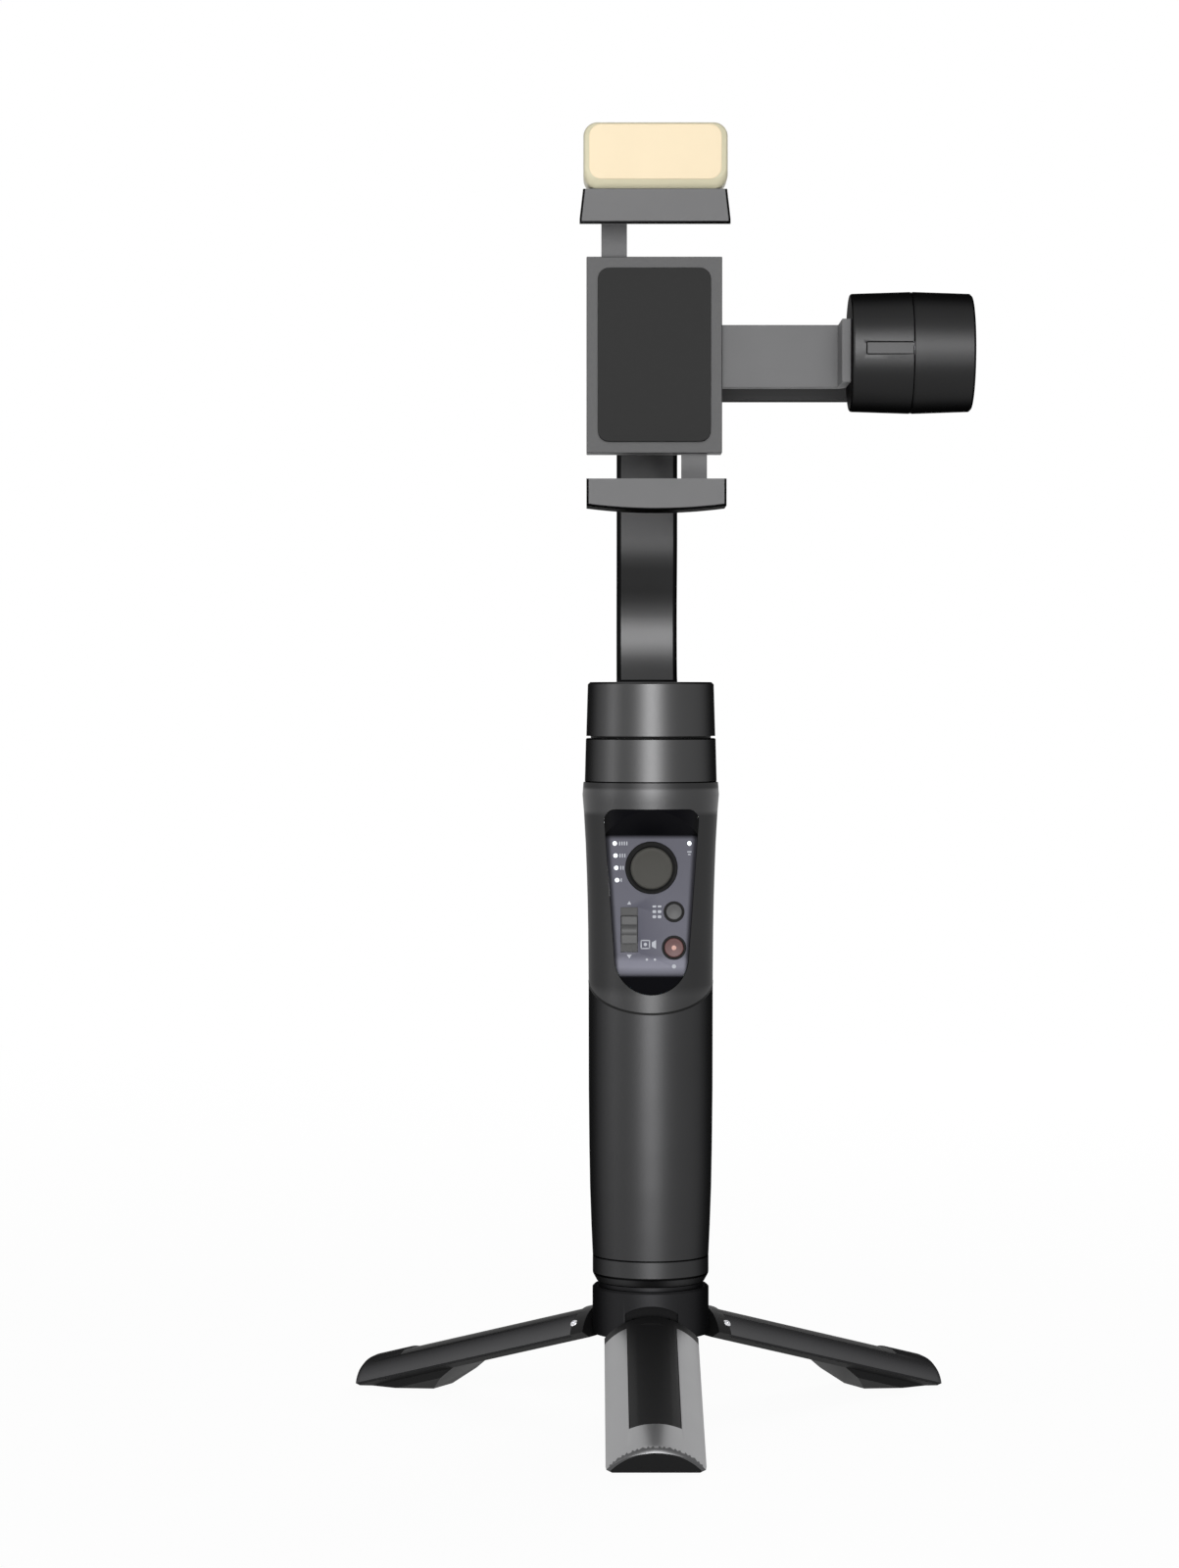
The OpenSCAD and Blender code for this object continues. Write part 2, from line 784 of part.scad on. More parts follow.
module shell_screws() {
    color([0.6, 0.6, 0.62]) screw_places() difference() {
        union() {
            rod_y(screw_head_r, 0, 0, screw_seat_y, screw_seat_y + screw_head_h);
            rod_y(screw_r, 0, 0, screw_seat_y - screw_len, screw_seat_y + seat_fit);
        }
        translate([0, screw_seat_y + screw_head_h + over, 0]) rotate([90, 0, 0])
            cylinder(r = drive_r, h = drive_depth + over, $fn = 6);
    }
}

module usb_socket() {
    mouth_x = sqrt(pow(grip_foot_r, 2) - pow(usb_y, 2)) + usb_inset;
    color([0.65, 0.66, 0.68]) translate([-mouth_x, usb_y, usb_z]) {
        difference() {
            slab([0, -usb_t / 2, -usb_w / 2], [usb_len, usb_t / 2, usb_w / 2]);
            slab([-over, usb_wall - usb_t / 2, usb_wall - usb_w / 2],
                [usb_len - usb_wall, usb_t / 2 - usb_wall, usb_w / 2 - usb_wall]);
        }
        slab([usb_wall, -usb_tongue_t / 2, -usb_tongue_w / 2],
            [usb_len - usb_wall / 2, usb_tongue_t / 2, usb_tongue_w / 2]);
    }
}

module bottom_cap() {
    spigot_r = grip_foot_r - shell_wall - slide_fit;
    color([0.12, 0.12, 0.13]) difference() {
        union() {
            rotate_extrude() polygon([[0, cap_foot_z], [cap_foot_r, cap_foot_z],
                [grip_foot_r, cap_foot_z + cap_chamfer_h], [grip_foot_r, grip_foot_z],
                [0, grip_foot_z]]);
            disc(spigot_r, grip_foot_z - over, grip_foot_z + cap_spigot_h);
        }
        disc(insert_r, cap_foot_z - over, grip_foot_z + cap_spigot_h + over);
    }
}

module thread_insert() {
    color([0.78, 0.62, 0.3]) difference() {
        disc(insert_r - seat_fit, cap_foot_z + seat_fit, grip_foot_z + cap_spigot_h);
        disc(stud_r + slide_fit / 2, cap_foot_z - over, grip_foot_z + cap_spigot_h - insert_wall);
    }
}

// Motors. Each is drawn along Z with its seam at zero and its rotor above.

module housing_bay(depth) {
    disc(motor_bay_r, -depth, over);
}

module bearing_tube() {
    difference() {
        disc(tube_r, -motor_depth - bay_floor / 2, tube_top);
        disc(bearing_r, -motor_depth, bearing_len - motor_depth);
        disc(bearing_r - tube_lip, -motor_depth, tube_top + over);
        disc(bearing_r, tube_top - bearing_len, tube_top + over);
    }
}

module motor_bearings() {
    for (foot = [-motor_depth, tube_top - bearing_len])
        ring(bearing_r - run_fit, shaft_r + run_fit, foot, foot + bearing_len);
}

module motor_stator() {
    difference() {
        ring(stator_r, tube_r + run_fit, -stator_low, stator_high);
        for (i = [0 : stator_slots - 1])
            rotate([0, 0, i * 360 / stator_slots]) {
                translate([slot_ring_r, 0, 0]) disc(slot_r, -stator_low - over, stator_high + over);
                slab([slot_ring_r, -slit_w / 2, -stator_low - over],
                    [stator_r + over, slit_w / 2, stator_high + over]);
            }
    }
}

module magnet_ring() {
    ring(magnet_r - run_fit, magnet_r - magnet_t, -magnet_low, rotor_ceiling - seat_fit);
}

module motor_shaft() {
    disc(shaft_r, -shaft_low, shaft_high);
}

// The rotor's hollow, with the boss for the shaft left standing
module rotor_bay() {
    difference() {
        disc(magnet_r, -over, rotor_ceiling);
        disc(boss_r, boss_low, rotor_ceiling + over);
    }
    disc(shaft_r, 0, shaft_high + seat_fit);
}

module at_pan() {
    translate([0, 0, pan_seam_z]) children();
}

module at_roll() {
    translate([0, roll_seam_y, axis_z]) rotate([90, 0, 0]) children();
}

module at_tilt() {
    translate([tilt_seam_x, 0, axis_z]) rotate([0, -90, 0]) children();
}

module pan_motor_housing() {
    color([0.2, 0.2, 0.21]) at_pan() {
        difference() {
            union() {
                rotate_extrude() polygon([[0, -pan_housing_h], [pan_housing_r + housing_taper, -pan_housing_h],
                    [pan_housing_r - housing_taper, 0], [0, 0]]);
                disc(shoulder_r - shell_wall - 2 * pan_spigot_gap, -pan_housing_h - pan_spigot_h,
                    over - pan_housing_h);
            }
            housing_bay(motor_depth);
        }
        bearing_tube();
    }
}

module pan_stator() {
    color([0.72, 0.45, 0.2]) at_pan() motor_stator();
}

module pan_bearings() {
    color([0.8, 0.8, 0.82]) at_pan() motor_bearings();
}

module pan_magnet_ring() {
    color([0.5, 0.5, 0.53]) at_pan() magnet_ring();
}

module pan_shaft() {
    color([0.75, 0.75, 0.77]) at_pan() motor_shaft();
}

// The arm's lean, eased at both ends, from its bend up to the plane y
function lean(y) = [for (i = [1 : lean_steps]) let (t = i / lean_steps)
    [y + arm_lean * (1 - t * t * (3 - 2 * t)), lean_low_z + t * arm_lean_h]];

// Side view of the pan arm, in Y and Z
function pan_arm_outline() = concat(
    [[0, arm_foot_z], [0, pan_rotor_top_z - rotor_edge], [pan_rotor_r - rotor_edge, pan_rotor_top_z]],
    arc(upright_front + arm_lean - arm_inner_fillet, lean_low_z, arm_inner_fillet,
        -asin(arm_bend_h / arm_inner_fillet), 0, bend_step),
    lean(upright_front), [[upright_front, axis_z], [upright_back, axis_z]], backwards(lean(upright_back)),
    arc(upright_back + arm_lean - arm_outer_bend, arm_foot_z + arm_outer_bend, arm_outer_bend, 0, -90,
        bend_step));

module side_on(width) {
    translate([-width / 2, 0, 0]) rotate([90, 0, 90]) linear_extrude(width) children();
}

module pan_arm() {
    lid_w = arm_w * lid_w_share;
    color([0.21, 0.21, 0.22]) difference() {
        union() {
            at_pan() translate([0, 0, motor_gap]) rotate_extrude() polygon([[0, 0], [pan_rotor_r, 0],
                [pan_rotor_r - pan_taper, pan_rotor_h - rotor_edge],
                [pan_rotor_r - pan_taper - rotor_edge, pan_rotor_h], [0, pan_rotor_h]]);
            side_on(arm_w) polygon(pan_arm_outline());
            at_roll() disc(roll_motor_r, -side_housing_len, 0);
        }
        at_pan() rotor_bay();
        at_pan() disc(pan_rotor_r, -over, motor_gap);
        at_roll() {
            difference() {
                housing_bay(motor_depth);
                bearing_tube_blank();
            }
            disc(bearing_r, -motor_depth, bearing_len - motor_depth);
            disc(bearing_r - tube_lip, -motor_depth, tube_top + over);
            disc(cover_r + lid_gap, -side_housing_len - over, cover_t - side_housing_len);
            disc(encoder_bay_r, -side_housing_len, 2 * cover_t - side_housing_len);
        }
        slab([-lid_w / 2 - lid_gap, upright_back - lid_t, lid_low_z - lid_gap],
            [lid_w / 2 + lid_gap, upright_back + over, lid_high_z + lid_gap]);
        slab([-channel_w / 2, upright_back - lid_t - channel_d, lid_low_z + lid_t],
            [channel_w / 2, upright_back, lid_high_z - lid_t]);
    }
    color([0.21, 0.21, 0.22]) at_roll() difference() {
        disc(tube_r, -over, tube_top);
        disc(bearing_r - tube_lip, -2 * over, tube_top + over);
        disc(bearing_r, tube_top - bearing_len, tube_top + over);
    }
}

module bearing_tube_blank() {
    disc(tube_r, -motor_depth - over, 0);
}

module pan_arm_cover() {
    lid_w = arm_w * lid_w_share;
    color([0.25, 0.25, 0.26]) slab([-lid_w / 2, upright_back - lid_t, lid_low_z],
        [lid_w / 2, upright_back, lid_high_z]);
}

module motor_cover() {
    disc(cover_r, -side_housing_len, cover_t - side_housing_len);
}

module roll_motor_cover() {
    color([0.25, 0.25, 0.26]) at_roll() motor_cover();
}

module roll_stator() {
    color([0.72, 0.45, 0.2]) at_roll() motor_stator();
}

module roll_bearings() {
    color([0.8, 0.8, 0.82]) at_roll() motor_bearings();
}

module roll_magnet_ring() {
    color([0.5, 0.5, 0.53]) at_roll() magnet_ring();
}

module roll_shaft() {
    color([0.75, 0.75, 0.77]) at_roll() motor_shaft();
}

// Top view of the roll arm, in X and Y
function roll_arm_outline() = concat(
    [[0, roll_bar_back]],
    arc(roll_side_x - roll_outer_bend, roll_bar_back - roll_outer_bend, roll_outer_bend, 90, 0, bend_step),
    [[roll_side_x, 0], [roll_side_x - roll_side_t, 0]],
    arc(roll_side_x - roll_side_t - roll_inner_bend, roll_bar_front - roll_inner_bend,
        roll_inner_bend, 0, 90, bend_step),
    [[0, roll_bar_front]]);

module roll_arm() {
    lid_h = roll_arm_h * roll_lid_h_share;
    color([0.21, 0.21, 0.22]) difference() {
        union() {
            at_roll() disc(roll_motor_r, motor_gap, motor_gap + roll_rotor_len);
            translate([0, 0, axis_z - roll_arm_h / 2]) linear_extrude(roll_arm_h)
                polygon(roll_arm_outline());
            at_tilt() rotate_extrude() polygon([[0, -side_housing_len],
                [tilt_end_r - rotor_edge, -side_housing_len],
                [tilt_end_r, rotor_edge - side_housing_len], [tilt_motor_r, 0], [0, 0]]);
        }
        at_roll() rotor_bay();
        at_tilt() {
            difference() {
                housing_bay(motor_depth);
                bearing_tube_blank();
            }
            disc(bearing_r, -motor_depth, bearing_len - motor_depth);
            disc(bearing_r - tube_lip, -motor_depth, over);
            disc(cover_r + lid_gap, -side_housing_len - over, cover_t - side_housing_len);
            disc(encoder_bay_r, -side_housing_len, 2 * cover_t - side_housing_len);
        }
        slab([roll_lid_x - lid_gap, roll_bar_back - lid_t, axis_z - lid_h / 2 - lid_gap],
            [roll_lid_end_x + lid_gap, roll_bar_back + over, axis_z + lid_h / 2 + lid_gap]);
        slab([roll_lid_x + lid_t, roll_bar_back - lid_t - channel_d, axis_z - channel_w / 2],
            [roll_lid_end_x - lid_t, roll_bar_back, axis_z + channel_w / 2]);
    }
    color([0.21, 0.21, 0.22]) at_tilt() difference() {
        disc(tube_r, -over, tube_top);
        disc(bearing_r - tube_lip, -2 * over, tube_top + over);
        disc(bearing_r, tube_top - bearing_len, tube_top + over);
    }
}

module roll_arm_cover() {
    lid_h = roll_arm_h * roll_lid_h_share;
    color([0.25, 0.25, 0.26]) slab([roll_lid_x, roll_bar_back - lid_t, axis_z - lid_h / 2],
        [roll_lid_end_x, roll_bar_back, axis_z + lid_h / 2]);
}

module tilt_motor_cover() {
    color([0.25, 0.25, 0.26]) at_tilt() motor_cover();
}

module tilt_stator() {
    color([0.72, 0.45, 0.2]) at_tilt() motor_stator();
}

module tilt_bearings() {
    color([0.8, 0.8, 0.82]) at_tilt() motor_bearings();
}

module tilt_magnet_ring() {
    color([0.5, 0.5, 0.53]) at_tilt() magnet_ring();
}

module tilt_shaft() {
    color([0.75, 0.75, 0.77]) at_tilt() motor_shaft();
}

module tilt_rotor() {
    top = motor_gap + tilt_rotor_len;
    color([0.21, 0.21, 0.22]) difference() {
        at_tilt() rotate_extrude() polygon([[0, motor_gap], [tilt_motor_r, motor_gap],
            [tilt_end_r, top - tilt_bevel], [tilt_end_r - tilt_bevel, top], [0, top]]);
        at_tilt() rotor_bay();
        slab([tilt_seam_x - motor_gap - notch_w, -far, axis_z - notch_h / 2],
            [tilt_seam_x, notch_d - tilt_end_r, axis_z + notch_h / 2]);
    }
}

// Phone clamp

// Top view of the bracket, in X and Y
function bracket_outline() = let (
        x0 = clamp_x + clamp_w / 2,
        x1 = tilt_rotor_x,
        back = clamp_back,
        front = clamp_back - bracket_bar_t)
    concat([[x0, back]],
        arc(x1 - bracket_bend, back - bracket_bend, bracket_bend, 90, 0, 15),
        [[x1, -bracket_half_d], [x1 - bracket_t, -bracket_half_d], [x1 - bracket_t, front], [x0, front]]);

module clamp_bracket() {
    color([0.42, 0.42, 0.41]) translate([0, 0, axis_z - bracket_h / 2]) linear_extrude(bracket_h)
        polygon(bracket_outline());
}

module clamp_body() {
    half = clamp_w / 2;
    room = clamp_h / 2 - frame_wall;
    rack_far = pitch_r + dedendum + rack_w;
    rack_near = pitch_r - addendum;
    slot_back = slide_front + slide_room;
    color([0.17, 0.17, 0.18]) translate([clamp_x, 0, axis_z]) {
        difference() {
            slab([-half, slide_front, -clamp_h / 2], [half, clamp_back, clamp_h / 2]);
            slab([-rack_far - slide_fit, slide_front - over, -room],
                [rack_far + slide_fit, slot_back, room]);
            slab([-rack_far - slide_fit, slide_front - over, 0],
                [slide_fit - rack_near, slot_back, clamp_h]);
            slab([rack_near - slide_fit, slide_front - over, -clamp_h],
                [rack_far + slide_fit, slot_back, 0]);
            rod_y(spring_bay_r, 0, 0, slide_front, slot_back + spring_bay_d);
        }
        rod_y(axle_r, 0, 0, slide_front + slide_fit, slot_back + spring_bay_d + over);
    }
}

module clamp_cover() {
    half = clamp_w / 2;
    color([0.2, 0.2, 0.21]) translate([clamp_x, 0, axis_z])
        slab([-half, cover_front, -clamp_h / 2], [half, slide_front, clamp_h / 2]);
}

module clamp_pad() {
    color([0.1, 0.1, 0.1]) translate([clamp_x, 0, axis_z]) facing(phone_back, cover_front)
        polygon(rounded_box(clamp_w - 2 * pad_inset, clamp_h - 2 * pad_inset, pad_inset));
}

module clamp_spring() {
    inner = hub_boss_r + spring_gap;
    outer = spring_bay_r - spring_gap / 2;
    steps = spring_turns * 360 / spring_step;
    low = slide_front + slide_room + spring_gap / 2;
    function leaf(i, offset) = let (r = inner + (outer - inner - spring_t) * i / steps + offset)
        [r * cos(i * spring_step), r * sin(i * spring_step)];
    color([0.6, 0.62, 0.65]) translate([clamp_x, 0, axis_z])
        facing(low, low + spring_bay_d - spring_gap)
            polygon(concat([for (i = [0 : steps]) leaf(i, 0)],
                [for (i = [steps : -1 : 0]) leaf(i, spring_t)]));
}

// Involute tooth flank as a polar angle, in degrees, at radius r past the base circle
function involute(r, base_r) = let (t = acos(base_r / r)) tan(t) * 180 / PI - t;

function tooth_half_angle(r, base_r) =
    90 / pinion_teeth - backlash / pitch_r * 90 / PI / 2
    + involute(pitch_r, base_r) - involute(r, base_r);

function pinion_outline() = let (
        base_r = pitch_r * cos(pressure_angle),
        root_r = pitch_r - dedendum,
        tip_r = pitch_r + addendum,
        radii = [for (share = [0, 0.15, 0.35, 0.6, 0.85, 1]) base_r + (tip_r - base_r) * share],
        root_half = tooth_half_angle(base_r, base_r))
    [for (i = [0 : pinion_teeth - 1])
        let (mid = i * 360 / pinion_teeth)
        for (p = concat(
                [[root_r, -root_half]],
                [for (r = radii) [r, -tooth_half_angle(r, base_r)]],
                [for (r = backwards(radii)) [r, tooth_half_angle(r, base_r)]],
                [[root_r, root_half]]))
            [p[0] * cos(mid + p[1]), p[0] * sin(mid + p[1])]];

module clamp_pinion() {
    front = slide_front + 2 * slide_fit;
    color([0.85, 0.84, 0.8]) translate([clamp_x, 0, axis_z]) difference() {
        union() {
            facing(front, front + pinion_t) polygon(pinion_outline());
            rod_y(hub_boss_r, 0, 0, front, front + pinion_t + hub_boss_len);
        }
        rod_y(axle_r + run_fit, 0, 0, front - over, front + pinion_t + 2 * hub_boss_len);
    }
}

// Rack teeth along Z, pointing to +X, with the pitch line at zero and a gap at height zero
module rack_teeth(count) {
    half = tooth_pitch / 4 - backlash / 4;
    lean = tan(pressure_angle);
    for (i = [-count : count - 1])
        translate([0, (i + 1 / 2) * tooth_pitch])
            polygon([[-dedendum - slide_fit, -half - lean * dedendum], [addendum, lean * addendum - half],
                [addendum, half - lean * addendum], [-dedendum - slide_fit, half + lean * dedendum]]);
}

// A slide plate with its rack, running from the tail below the pinion up to the jaw
module jaw_slide() {
    y_lo = slide_front + slide_fit;
    facing(y_lo, y_lo + slide_t) {
        translate([-pitch_r - dedendum - rack_w, -rack_tail])
            square([rack_w, half_gap + rack_tail + pad_t + over]);
        translate([-pitch_r, 0]) intersection() {
            rack_teeth(7);
            translate([-rack_w, -rack_tail]) square([2 * rack_w, 2 * rack_tail + tooth_pitch]);
        }
    }
}

module upper_jaw() {
    low = half_gap - lip_over;
    high = low + jaw_h;
    color([0.47, 0.48, 0.49]) translate([clamp_x, 0, axis_z]) {
        difference() {
            facing(-jaw_front, jaw_back) polygon([[-jaw_wide / 2, low], [jaw_wide / 2, low],
                [jaw_wide / 2, low + pad_t], [jaw_narrow / 2, high], [-jaw_narrow / 2, high],
                [-jaw_wide / 2, low + pad_t]]);
            slab([-far, -phone_back - lip_gap, low - over], [far, far, half_gap + pad_t]);
        }
        jaw_slide();
    }
}

module upper_jaw_pad() {
    color([0.1, 0.1, 0.1]) translate([clamp_x, 0, axis_z])
        slab([jaw_side - jaw_narrow / 2, -phone_back, half_gap],
            [jaw_narrow / 2 - jaw_side, cover_front, half_gap + pad_t]);
}

module lower_jaw() {
    high = lip_over - half_gap;
    low = high - low_jaw_h;
    bow_r = (pow(low_jaw_w / 2, 2) + pow(low_jaw_bow, 2)) / (2 * low_jaw_bow);
    bow_a = asin(low_jaw_w / 2 / bow_r);
    color([0.42, 0.42, 0.42]) translate([0, 0, axis_z]) {
        difference() {
            translate([low_jaw_x, 0, 0]) facing(-jaw_front, jaw_back)
                polygon(concat([[low_jaw_w / 2, high], [-low_jaw_w / 2, high]],
                    arc(0, low + bow_r, bow_r, 270 - bow_a, 270 + bow_a, bow_a / 6)));
            slab([-far, -phone_back - lip_gap, -half_gap - pad_t], [far, far, high + over]);
        }
        translate([clamp_x, 0, 0]) rotate([0, 180, 0]) jaw_slide();
    }
}

module lower_jaw_pad() {
    color([0.1, 0.1, 0.1]) translate([low_jaw_x, 0, axis_z])
        slab([jaw_side - low_jaw_w / 2, -phone_back, -half_gap - pad_t],
            [low_jaw_w / 2 - jaw_side, cover_front, -half_gap]);
}

// Fill light

light_foot_z = axis_z + half_gap - lip_over + jaw_h;

module light_shape(inset, y_lo, y_hi) {
    translate([light_x, 0, light_foot_z + light_h / 2]) facing(y_lo, y_hi)
        polygon(rounded_box(light_w - 2 * inset, light_h - 2 * inset, light_corner - inset / 2));
}

module light_housing() {
    color([0.5, 0.47, 0.38]) difference() {
        light_shape(0, -light_front, light_d - light_front);
        light_shape(light_frame, -light_front - over, diffuser_t + diffuser_inset - light_front);
        light_shape(light_frame + light_shell, -light_front, light_d - light_front - light_shell);
    }
}

module light_diffuser() {
    color([0.98, 0.93, 0.8]) light_shape(light_frame + seat_fit, diffuser_inset - light_front,
        diffuser_inset + diffuser_t - light_front);
}

// Tripod

// Leg shapes are drawn folded, hanging down the +X side with the pin at the height zero.
// A child is then opened about its pin and turned to its place round the hub.
module opened(angle) {
    rotate([0, 0, angle]) translate([pin_circle_r, 0, pin_z]) rotate([0, -fold_angle, 0])
        translate([-pin_circle_r, 0, 0]) children();
}

leg_flat = leg_r - leg_depth;
sole_a = leg_slope;

// Side view of a folded leg: distance from the axis and height, crest outermost
function leg_side() = let (
        sole_d = pin_circle_r - (pin_z - sole_s * sin(sole_a)) / cos(sole_a),
        toe_d = pin_circle_r - (pin_z - toe_s * sin(sole_a)) / cos(sole_a))
    [[leg_flat, -leg_root], [leg_r, -leg_root], [leg_r, -leg_len - tip_out],
        [leg_r - tip_shares[2][0] * tip_out, -leg_len - tip_out], [toe_d, -toe_s], [sole_d, -sole_s],
        [leg_flat, -heel_s]];

// The rounded end of a leg, turned about the folded legs' axis
module leg_tip() {
    rotate_extrude() polygon(concat([[0, 0], [leg_r + over, 0], [leg_r + over, -leg_len], [leg_r, -leg_len]],
        [for (p = tip_shares) [leg_r - p[0] * tip_out, -leg_len - p[1] * tip_out]],
        [[0, -leg_len - tip_out]]));
}

// Bevels along a leg's lower corners, which also narrow its foot
module leg_bevels() {
    foot_half = leg_w / 2 - leg_bevel_w;
    side_half = leg_w / 2 + leg_bevel_w;
    side_d = leg_flat + 2 * leg_bevel_h;
    translate([0, 0, -far]) linear_extrude(far) polygon([[0, -foot_half], [leg_flat, -foot_half],
        [side_d, -side_half], [2 * leg_r, -side_half], [2 * leg_r, side_half], [side_d, side_half],
        [leg_flat, foot_half], [0, foot_half]]);
}

module leg_section(r, clear) {
    intersection() {
        circle(r = r);
        translate([0, -leg_w / 2 - clear]) square([2 * leg_r, leg_w + 2 * clear]);
    }
}

module leg_column(r, clear, s_lo, s_hi) {
    translate([0, 0, -s_hi]) linear_extrude(s_hi - s_lo) leg_section(r, clear);
}

module leg_profile() {
    translate([0, leg_w, 0]) rotate([90, 0, 0]) linear_extrude(2 * leg_w) polygon(leg_side());
}

// The third of the circle that a folded leg may fill
module leg_wedge() {
    clear = knuckle_gap / sin(60);
    translate([clear, 0, -far]) linear_extrude(2 * far)
        polygon([[0, 0], [leg_r * 2, -leg_r * 2 * tan(60)], [leg_r * 2, leg_r * 2 * tan(60)]]);
}

module leg_shell() {
    difference() {
        intersection() {
            leg_column(leg_r, 0, shell_root, leg_len + 2 * tip_out);
            leg_profile();
            leg_tip();
            leg_bevels();
        }
        leg_column(leg_r - leg_shell_t, over, 0, leg_len + 3 * tip_out);
        slab([0, -strip_w / 2, -strip_end], [2 * leg_r, strip_w / 2, over]);
    }
}

module leg_core() {
    core_r = leg_r - leg_shell_t - seat_fit;
    difference() {
        union() {
            intersection() {
                leg_profile();
                leg_wedge();
                leg_tip();
                leg_bevels();
                difference() {
                    leg_column(leg_r, 0, 0, leg_len + 2 * tip_out);
                    difference() {
                        leg_column(leg_r + over, over, shell_root - seat_fit, leg_len + 3 * tip_out);
                        leg_column(core_r, 2 * over, 0, leg_len + 4 * tip_out);
                        slab([0, -strip_w / 2 + slide_fit, slide_fit - strip_end],
                            [leg_r - strip_sink, strip_w / 2 - slide_fit, 0]);
                    }
                }
            }
            translate([pin_circle_r, 0, 0]) rotate([90, 0, 0])
                translate([0, 0, -knuckle_w / 2]) cylinder(r = knuckle_r, h = knuckle_w);
            slab([leg_flat, -knuckle_w / 2, -leg_root - over],
                [pin_circle_r + knuckle_h, knuckle_w / 2, 0]);
        }
        translate([pin_circle_r, 0, 0]) rotate([90, 0, 0]) translate([0, 0, -knuckle_w])
            cylinder(r = pin_r + run_fit, h = 2 * knuckle_w);
    }
}

module leg_front_shell() {
    color([0.45, 0.45, 0.46]) opened(leg_angles[0]) leg_shell();
}

module leg_front_core() {
    color([0.1, 0.1, 0.11]) opened(leg_angles[0]) leg_core();
}

module leg_left_shell() {
    color([0.45, 0.45, 0.46]) opened(leg_angles[1]) leg_shell();
}

module leg_left_core() {
    color([0.1, 0.1, 0.11]) opened(leg_angles[1]) leg_core();
}

module leg_right_shell() {
    color([0.45, 0.45, 0.46]) opened(leg_angles[2]) leg_shell();
}

module leg_right_core() {
    color([0.1, 0.1, 0.11]) opened(leg_angles[2]) leg_core();
}

module hub_cuts() {
    root = leg_root - hub_slot_gap;
    opened(0) leg_column(leg_r + hub_slot_gap, hub_slot_gap, root, 2 * leg_len);
    slab([pin_circle_r, -knuckle_w / 2 - knuckle_gap, 0],
        [2 * leg_r, knuckle_w / 2 + knuckle_gap, pin_z + knuckle_h + hub_slot_gap]);
    intersection() {
        translate([leg_r - pocket_depth, 0, hub_top_z - pocket_drop - pocket_r]) rotate([0, 90, 0])
            cylinder(r = pocket_r, h = 2 * pocket_depth);
        slab([0, -pocket_half, pin_z], [2 * leg_r, pocket_half, hub_top_z]);
    }
    slab([leg_flat - hub_slot_gap, -knuckle_w / 2 - knuckle_gap, 0],
        [2 * leg_r, knuckle_w / 2 + knuckle_gap, pin_z]);
    translate([pin_circle_r, 0, pin_z]) rotate([90, 0, 0])
        translate([0, 0, -knuckle_w / 2 - knuckle_gap])
            cylinder(r = knuckle_r + hub_slot_gap, h = knuckle_w + 2 * knuckle_gap);
    translate([pin_circle_r, 0, pin_z]) rotate([90, 0, 0])
        translate([0, 0, -pin_half]) cylinder(r = pin_r, h = 2 * pin_half);
}

module tripod_hub() {
    color([0.16, 0.16, 0.17]) difference() {
        union() {
            rotate_extrude() polygon([[0, hub_foot_z], [hub_r, hub_foot_z],
                [hub_r, hub_top_z - hub_chamfer], [hub_r - hub_chamfer, hub_top_z],
                [neck_r, hub_top_z], [neck_r, cap_foot_z], [0, cap_foot_z]]);
            disc(hub_core_r, hub_core_z, hub_foot_z + over);
        }
        for (angle = leg_angles) rotate([0, 0, angle]) hub_cuts();
        disc(stud_r, stud_z, cap_foot_z + over);
    }
}

module tripod_stud() {
    color([0.7, 0.7, 0.72]) disc(stud_r - run_fit, stud_z, grip_foot_z);
}

module hinge_pins() {
    color([0.7, 0.7, 0.72]) for (angle = leg_angles)
        rotate([0, 0, angle]) translate([pin_circle_r, 0, pin_z]) rotate([90, 0, 0])
            translate([0, 0, -pin_half]) cylinder(r = pin_r, h = 2 * pin_half);
}

handle_rear_shell();
grip_front_shell();
control_cover();
control_panel();
bottom_cap();
battery_cell();
control_board();
joystick_base();
tact_switches();
usb_socket();
led_pipes();
shell_screws();
pan_motor_housing();
pan_stator();
pan_bearings();
thread_insert();
tripod_hub();
tripod_stud();
hinge_pins();
pan_arm();
pan_arm_cover();
pan_magnet_ring();
pan_shaft();
roll_motor_cover();
roll_stator();
roll_bearings();
roll_arm();
roll_arm_cover();
roll_magnet_ring();
roll_shaft();
tilt_motor_cover();
tilt_stator();
tilt_bearings();
tilt_rotor();
tilt_magnet_ring();
tilt_shaft();
clamp_bracket();
clamp_body();
clamp_cover();
clamp_pad();
clamp_spring();
clamp_pinion();
upper_jaw();
upper_jaw_pad();
lower_jaw();
lower_jaw_pad();
light_housing();
light_diffuser();
joystick_ring();
joystick_stick();
zoom_slider();
mode_button();
record_button();
leg_front_shell();
leg_front_core();
leg_left_shell();
leg_left_core();
leg_right_shell();
leg_right_core();
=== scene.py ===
"""Three-axis smartphone gimbal on its mini tripod, with a clip-on fill light."""
import json
import math

import bmesh
import bpy
from mathutils import Matrix, Vector


